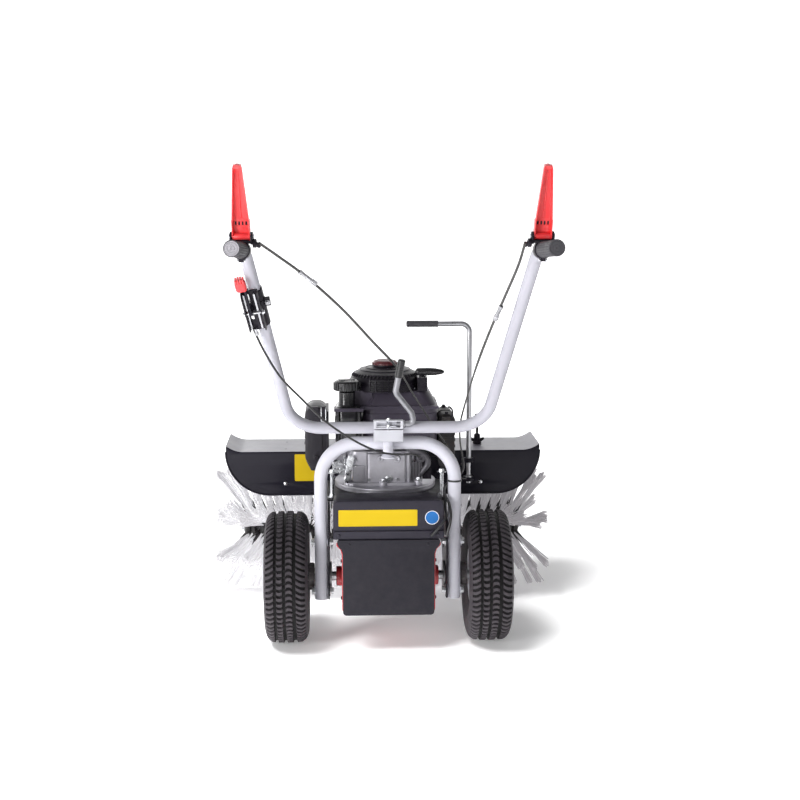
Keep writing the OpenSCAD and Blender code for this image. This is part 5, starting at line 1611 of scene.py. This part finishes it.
# carburettor with bowl, choke shaft, governor rods and springs
g = Geo()
lathe(g, fillet([(0, -152), (24, -152), (24, -146), (17, -143), (17, -118), (14.5, -115), (14.5, -108), (22, -104), (22, -92), (0, -92)], 1.0, 2, closed=False), o=(0, EY, 450), d=(1, 0, 0), n=40)
lathe(g, fillet([(0, 406), (6, 406), (6, 409), (17, 410.5), (20, 416), (20, 436), (21.5, 437), (21.5, 441), (0, 441)], 1.0, 2, closed=False), o=(-122, EY, 0), n=40, mat=1)
rbox(g, (-140, 142, 438), (-106, 198, 470), 3.0, 3)
bolt(g, (-122, EY, 406), (0, 0, -1), af=10, h=4, mat=1)
for x in (-134, -110):
    bolt(g, (x, 148, 470), (0, 0, 1), af=7, h=4, mat=1)
tube(g, [(-128, 130, 461), (-128, 212, 461)], 2.4, 12, mat=1)
plate(g, [fillet([(-142, 452), (-121, 452), (-119, 466), (-130, 486), (-138, 484)], 4, 4), circ(-134, 478, 1.8, 14)], 132, 134.2, "y", 0.5, 2, mat=1)
tube(g, catmull([(-134, 131, 478), (-120, 122, 480), (-98, 112, 474), (-84, 98, 462), (-78, 88, 446)], 6), 1.5, 10, mat=1)
tube(g, catmull([(-126, 131, 457), (-112, 112, 452), (-94, 92, 444), (-80, 84, 432)], 6), 1.3, 10, mat=1)
plate(g, [fillet([(-112, 388), (-96, 388), (-92, 420), (-84, 456), (-94, 470), (-104, 452), (-108, 424)], 5, 4), circ(-94, 456, 2, 14), circ(-103, 400, 3, 16)], 80, 83, "y", 0.6, 2, mat=1)
bolt(g, (-103, 80, 400), (0, -1, 0), af=10, h=5, mat=1)
bolt(g, (-94, 80, 456), (0, -1, 0), af=7, h=4, mat=1)
N = 15 * 10
sp = [(-118 + 26 * t / N + 3.2 * cos(2 * pi * t / 10) * 0.45, 90 + 3.2 * sin(2 * pi * t / 10), 428 - 14 * t / N + 3.2 * cos(2 * pi * t / 10)) for t in range(N + 1)]
tube(g, sp, 0.75, 6, mat=1)
sp = [(-110 + 3.0 * cos(2 * pi * t / 10), 84 + 3.0 * sin(2 * pi * t / 10), 436 + 26 * t / N) for t in range(N + 1)]
tube(g, sp, 0.75, 6, mat=1)
# control bracket plate with rolled edge and a cable stop
plate(g, [fillet([(-142, 410), (-114, 404), (-112, 436), (-126, 444), (-142, 440)], 4, 4), circ(-128, 424, 4.5, 20)], 104, 106.4, "y", 0.6, 2, mat=1)
bolt(g, (-136, 104, 432), (0, -1, 0), af=8, h=4, mat=1)
bolt(g, (-118, 104, 412), (0, -1, 0), af=8, h=4, mat=1)
lathe(g, fillet([(0, 0), (5, 0), (5, 10), (3.4, 12), (0, 12)], 0.5, 2, closed=False), o=(-142, 112, 398), d=(0.2, -0.9, 0.3), n=20, mat=1)
piece("carburettor_set", g, ["alu", "zinc"], "chassis", rep=["carburettor"], smooth=38)

# silencer box with pressed louvres, guard rib and a black hook
g = Geo()
b = (141, 420, 185, 566, 16)
stack(g, [inset(b, 6, 112), inset(b, 1.5, 113.4), inset(b, 0, 117), inset(b, 0, 174), inset(b, -1.6, 174.6), inset(b, -1.6, 178.4), inset(b, 0, 179), inset(b, 0, 235), inset(b, 1.5, 238.6), inset(b, 6, 240)], T=TY)
lathe(g, fillet([(10.1, 70), (20, 70), (20, 76), (14, 78), (14, 142), (10.1, 142)], 0.8, 2), o=(0, EY + 20, 450), d=(1, 0, 0), n=36, closed=True)
for k in range(7):
    rbox(g, (184, 124, 440 + 17 * k), (187.4, 168, 447 + 17 * k), 1.4, 2)
    rbox(g, (184, 184, 440 + 17 * k), (187.4, 228, 447 + 17 * k), 1.4, 2)
for z in (452, 496, 536):
    rbox(g, (148, 110, z), (178, 113.4, z + 8), 1.4, 2)
rbox(g, (150, 96, 540), (172, 113, 560), 1.5, 2)
pth = catmull([(168, 108, 556), (176, 106, 562), (178, 105, 576), (172, 104, 586), (166, 104, 588)], 6)
tube(g, pth, 2.2, 12, mat=1)
for y in (120, 232):
    bolt(g, (163, y, 566), (0, 0, 1), af=9, h=5, mat=1)
piece("silencer", g, ["exhaust", "plastic"], "chassis", rep=["muffler"], smooth=40)

# starter handle: a tapered bar with a short neck, and the rope it pulls
g = Geo()
rings = []
for x, ry, rz in ((77.6, 3, 2), (78.6, 7, 6), (81, 9.4, 8.6), (86, 10, 10), (112, 10.2, 10), (126, 9.6, 9.6), (138, 8.4, 8.0), (147, 6.6, 6.2), (152, 4.4, 4.0), (154, 1.6, 1.4)):
    rings.append([(x, 84 + ry * cos(a), 686 + rz * sin(a) + (0.10 * max(0, x - 110) * -0.2)) for a in np.linspace(0, 2 * pi, 28, endpoint=False)])
loft(g, rings)
lathe(g, fillet([(0, 0), (8.4, 0), (7.4, 6), (6.0, 9), (6.0, 15), (5.2, 16.4), (2.4, 16.4), (2.4, 12), (0, 12)], 0.5, 2, closed=False), o=(97, 86, 684), d=(0, 0.743, -0.669), n=28)
for k in range(6):
    x = 108 + 4.4 * k
    lathe(g, fillet([(8.6, -0.9), (10.9 - 0.25 * k, -0.9), (10.9 - 0.25 * k, 0.9), (8.6, 0.9)], 0.6, 2), o=(x, 84, 686 - 0.02 * (x - 108)), d=(1, 0, 0), n=28, closed=True)
piece("pull_handle", g, ["plasticg"], "starter_handle", rep=["starter_handle"], smooth=40)
g = Geo()
a, b = np.array([97, 108.0, 666.0]), np.array([97, 92.0, 678.0])
tube(g, [a + (b - a) * t for t in np.linspace(0, 1, 40)], 1.9, 10)
piece("pull_rope", g, ["rope"], None, smooth=60, blend=("chassis", "starter_handle", D(*a), D(*b)))


# ------------------------------------------------------------------ covers, gearbox and deck
g = Geo()
outer = fillet([(-141, 284), (-141, 384), (141, 384), (141, 284)], [0, 16, 16, 0], 8, closed=False)
inner = fillet([(-138, 284), (-138, 381), (138, 381), (138, 284)], [0, 13, 13, 0], 8, closed=False)
plate(g, [outer + list(reversed(inner))], -103, -20, "y", 0.8, 2)
plate(g, [fillet([(-141, 286), (-141, 384), (141, 384), (141, 286)], [2, 16, 16, 2], 8)], -108, -101, "y", 3.4, 4)
plate(g, [fillet([(-141, 284), (-141, 306), (141, 306), (141, 284)], [3, 3.5, 3.5, 3], 4)], -113, -104, "y", 2.2, 3)
for x in (-126, 126):
    bolt(g, (x, -113, 295), (0, -1, 0), af=6.5, h=2.4, mat=0, washer=False, dome=True)
# painted light: the belt cover takes the lighter copy of the black finish
piece("belt_housing", g, ["cover"], "chassis", rep=["belt_cover"], smooth=40)

g = Geo()
side = [(-131, 284), (-131, 274), (-127.5, 266), (-121, 259), (-118, 251), (-117, 243), (-117, 85)]
shape = fillet(side + [(117, 85)] + [(-x, z) for x, z in reversed(side[:-1])], [3, 5, 4, 4, 4, 4, 9, 9, 4, 4, 4, 4, 5, 3], 4)
plate(g, [shape], -118, -115, "y", 1.1, 3)
for s in (-1, 1):
    rbox(g, (s * 114, -116, 112), (s * 117, -86, 250), 0.8, 2)
    bolt(g, (s * 117, -102, 128), (s, 0, 0), af=8, h=4, mat=0)
    bolt(g, (s * 117, -102, 226), (s, 0, 0), af=8, h=4, mat=0)
    bolt(g, (s * 100, -118, 272), (0, -1, 0), af=6, h=1.6, mat=0, washer=False, dome=True)
rbox(g, (-128, -116, 281), (128, -106, 284), 0.8, 2)
piece("gear_guard", g, ["guard"], "chassis", rep=["gearbox_guard"], smooth=40)


def gearcase(name, node, s):
    g = Geo()
    o, d = (0, 0, 157), (s, 0, 0)
    lathe(g, fillet([(12.6, 0.3), (71, 0.3), (71, 7), (67, 9), (67, 70), (62, 82), (52, 88), (32, 90), (26, 96), (22, 100), (20, 118), (26, 120), (26, 132), (24, 134), (12.6, 134)], 1.6, 3), o=o, d=d, n=72, closed=True)
    for k in range(10):
        a = rad(36 * k + 18)
        rbox(g, (20, -2.2, 84), (58, 2.2, 92), 1.2, 2, 0, frame_to(o, d) @ rot("Z", 36 * k))
        bolt(g, (s * 9.0, 69.0 * cos(a), 157 + 69.0 * sin(a)), (s, 0, 0), af=7, h=4, mat=1, washer=False)
    # worm column half, and the mounting plate whose edge shows behind the guard
    col = [(0.2, -26), (10, -28 + 54 - 54)]
    arc = [(28 * cos(rad(a)), -54 + 28 * sin(rad(a))) for a in np.linspace(-90, 90, 20)]
    hole = [(10.2 * cos(rad(a)), -54 + 10.2 * sin(rad(a))) for a in np.linspace(90, -90, 14)]
    lp = [(s * max(x, 0.2), y) for x, y in arc + hole]
    plate(g, [lp], 112, 246, "z", 0.6, 2)
    arc = [(34 * cos(rad(a)), -54 + 34 * sin(rad(a))) for a in np.linspace(-90, 90, 20)]
    plate(g, [[(s * max(x, 0.2), y) for x, y in arc + hole]], 244, 252, "z", 0.8, 2)
    plate(g, [[(s * max(x, 0.2), y) for x, y in arc + hole]], 112, 120, "z", 0.8, 2)
    plate(g, [fillet([(s * 0.3, 92), (s * 119.4, 92), (s * 119.4, 246), (s * 123, 258), (s * 133, 268), (s * 133, 277), (s * 0.3, 277)], [0, 9, 12, 5, 5, 3, 0], 4)], -112.6, -110, "y", 0.5, 2)
    rbox(g, (s * 108, -110.5, 150), (s * 112, -40, 180), 1.0, 2)
    rbox(g, (s * 60, -56, 150), (s * 111, -50, 180), 1.0, 2)
    piece(name, g, ["red", "zinc"], "chassis", rep=[node], smooth=40)


gearcase("gear_housing_right", "gearbox_right", 1)
gearcase("gear_housing_left", "gearbox_left", -1)

g = Geo()
deck = [(-134, -60), (134, -60), (134, -14), (156, -14), (156, 226), (60, 296), (60, 384), (-60, 384), (-60, 296), (-156, 226), (-156, -14), (-134, -14)]
holes = [circ(0, 170, 34, 48), circ(0, 330, 30.05, 48)]
plate(g, [fillet(deck, [6, 6, 4, 8, 12, 16, 12, 12, 16, 12, 8, 4], 4)] + holes, 361, 365, "z", 1.2, 3)
# folded stiffening edges along both sides
for s in (-1, 1):
    rbox(g, (s * 144, 132, 344), (s * 147.5, 224, 363), 1.0, 2)
    rbox(g, (s * 62, 297, 346), (s * 59, 308, 363), 0.8, 2)
piece("deck_plate", g, ["black"], "chassis", rep=["engine_deck"], smooth=40)

g = Geo()
cheek = [(-66, 112), (-20, 108), (40, 108), (125, 250), (130, 361), (-14, 361), (-66, 300)]
for s in (-1, 1):
    plate(g, [fillet(cheek, [6, 10, 14, 20, 4, 4, 14], 5), circ(0, 157, 26.05, 48), circ(-45, 130, 5.3, 20), circ(-45, 262, 5.3, 20)], s * 150.6, s * 154.6, "x", 0.9, 2)
    plate(g, [fillet([(30, 220), (70, 220), (98, 262), (98, 330), (30, 330)], 12, 5)], s * 149.4, s * 151.2, "x", 0.5, 2)
piece("cheek_plates", g, ["black"], "chassis", rep=["side_cheeks"], smooth=40)

g = Geo()
lathe(g, fillet([(0, 349), (42, 349), (42, 356), (25, 356), (25, 385), (0, 385)], [0, 1, 1, 0, 1, 0], 2, closed=False), o=(0, 330, 0), n=64)
rbox(g, (-300, 330.6, 349), (300, 350, 356), 1.4, 2)
rbox(g, (-300, 346, 332), (300, 350, 352), 1.2, 2)
for s in (-1, 1):
    plate(g, [rrect(s * 276 - 14, 318, s * 276 + 14, 356, 4), circ(s * 276, 335, 4.1, 20)], 329, 334, "y", 0.8, 2)
    rbox(g, (s * 60, 332, 352), (s * 66, 372, 356), 0.8, 1)
rbox(g, (-20, 330, 349), (20, 388, 356), 1.2, 2)
rbox(g, (-20, 376, 302), (20, 388, 354), 1.2, 2)
piece("carrier_beam", g, ["black"], "brush_head", rep=["brush_carrier"], smooth=40)

g = Geo()
arm = []
for c, r, a0, a1 in (((480, 171), 42, -122, 62), ((338, 254), 38, 62, 238)):
    arm += [(c[0] + r * cos(rad(a)), c[1] + r * sin(rad(a))) for a in np.linspace(a0, a1, 22)]
plate(g, [arm, circ(480, 171, 15.1, 40)], -30, 30, "x", 6, 5)
plate(g, [[(480 + (y - 480) * 0.90, 171 + (z - 171) * 0.90) for y, z in circ(480, 171, 44, 40)], circ(480, 171, 15.1, 40)], -34, 34, "x", 2, 3)
for k in range(6):
    a = rad(60 * k)
    for s in (-1, 1):
        bolt(g, (s * 34, 480 + 32 * cos(a), 171 + 32 * sin(a)), (s, 0, 0), af=8, h=2.6, mat=1, washer=False)
rbox(g, (-20, 376, 238), (20, 388, 302), 2, 2)
lathe(g, fillet([(9.1, 286), (30, 286), (30, 296), (26, 299), (9.1, 299)], 1, 2), o=(0, 330, 0), n=48, closed=True)
piece("brush_gear_housing", g, ["red", "zinc"], "brush_head", rep=["brush_gearcase"], smooth=40)

# plain film panels, left blank
g = Geo()
plate(g, [rrect(-127.2, 317.5, 73.2, 360, 2.5)], -108.42, -107.9, "y", 0.12, 1)
piece("cover_panel", g, ["yellow"], "chassis")
g = Geo()
plate(g, [circ(110.7, 338.6, 17.9, 48)], -108.40, -107.9, "y", 0.12, 1, 0)
plate(g, [circ(110.7, 338.6, 16.4, 48)], -108.62, -108.1, "y", 0.12, 1, 1)
piece("cover_disc", g, ["white", "blue"], "chassis")
g = Geo()
plate(g, [rrect(-250, 341, -193, 418, 3)], 322.58, 323.1, "y", 0.12, 1)
piece("skirt_panel", g, ["yellow"], "brush_head")

# ------------------------------------------------------------------ finishes for parts kept as built
KEEP = {"axle_bearings": "iron", "swivel_bearing": "bronze", "drive_belt": "belt", "brush_belt": "belt", "crankshaft": "rod", "engine_pulley": "iron",
        "axle_shaft": "rod", "gearbox_pulley": "iron", "brush_pulley": "iron"}
for name, key in KEEP.items():
    o = bpy.data.objects[name]
    o.data.materials.clear()
    o.data.materials.append(M[key])


# ------------------------------------------------------------------ floor and finish
def floor():
    me = bpy.data.meshes.new("floor")
    me.from_pydata([(-12, -8, -0.0006), (12, -8, -0.0006), (12, 1.6, -0.0006), (-12, 1.6, -0.0006)], [], [(0, 1, 2, 3)])
    m, nt, b = new_mat("floor_white")
    n = noise(nt, 3.0, 3.0, 0.5)
    nt.links.new(mixcol(nt, maprange(nt, n.outputs["Fac"], 0.3, 0.7, 0.0, 1.0), (0.90, 0.90, 0.905), (0.93, 0.93, 0.935)), b.inputs["Base Color"])
    b.inputs["Roughness"].default_value = 0.6
    b.inputs["Specular IOR Level"].default_value = 0.2
    b.inputs["Emission Color"].default_value = (1, 1, 1, 1)
    b.inputs["Emission Strength"].default_value = 0.20
    me.materials.append(m)
    o = bpy.data.objects.new("floor", me)
    scene.collection.objects.link(o)
    only = bpy.data.collections.new("floor_only")
    only.objects.link(o)
    floor_key.light_linking.receiver_collection = only


floor()


def backdrop():
    """plain white sweep and wall far behind the part"""
    me = bpy.data.meshes.new("backdrop")
    me.from_pydata([(-40, 9, -0.0006), (40, 9, -0.0006), (40, 9, 26), (-40, 9, 26), (-12, 1.6, -0.0006), (12, 1.6, -0.0006)], [], [(0, 1, 2, 3), (4, 5, 1, 0)])
    m, nt, b = new_mat("backdrop_white")
    n = noise(nt, 0.5, 2.0, 0.5)
    b.inputs["Base Color"].default_value = (0.9, 0.9, 0.9, 1)
    nt.links.new(mixcol(nt, n.outputs["Fac"], (1.0, 1.0, 1.0), (0.995, 0.995, 1.0)), b.inputs["Emission Color"])
    b.inputs["Emission Strength"].default_value = 1.02
    me.materials.append(m)
    o = bpy.data.objects.new("backdrop", me)
    o.visible_diffuse = False
    scene.collection.objects.link(o)


backdrop()
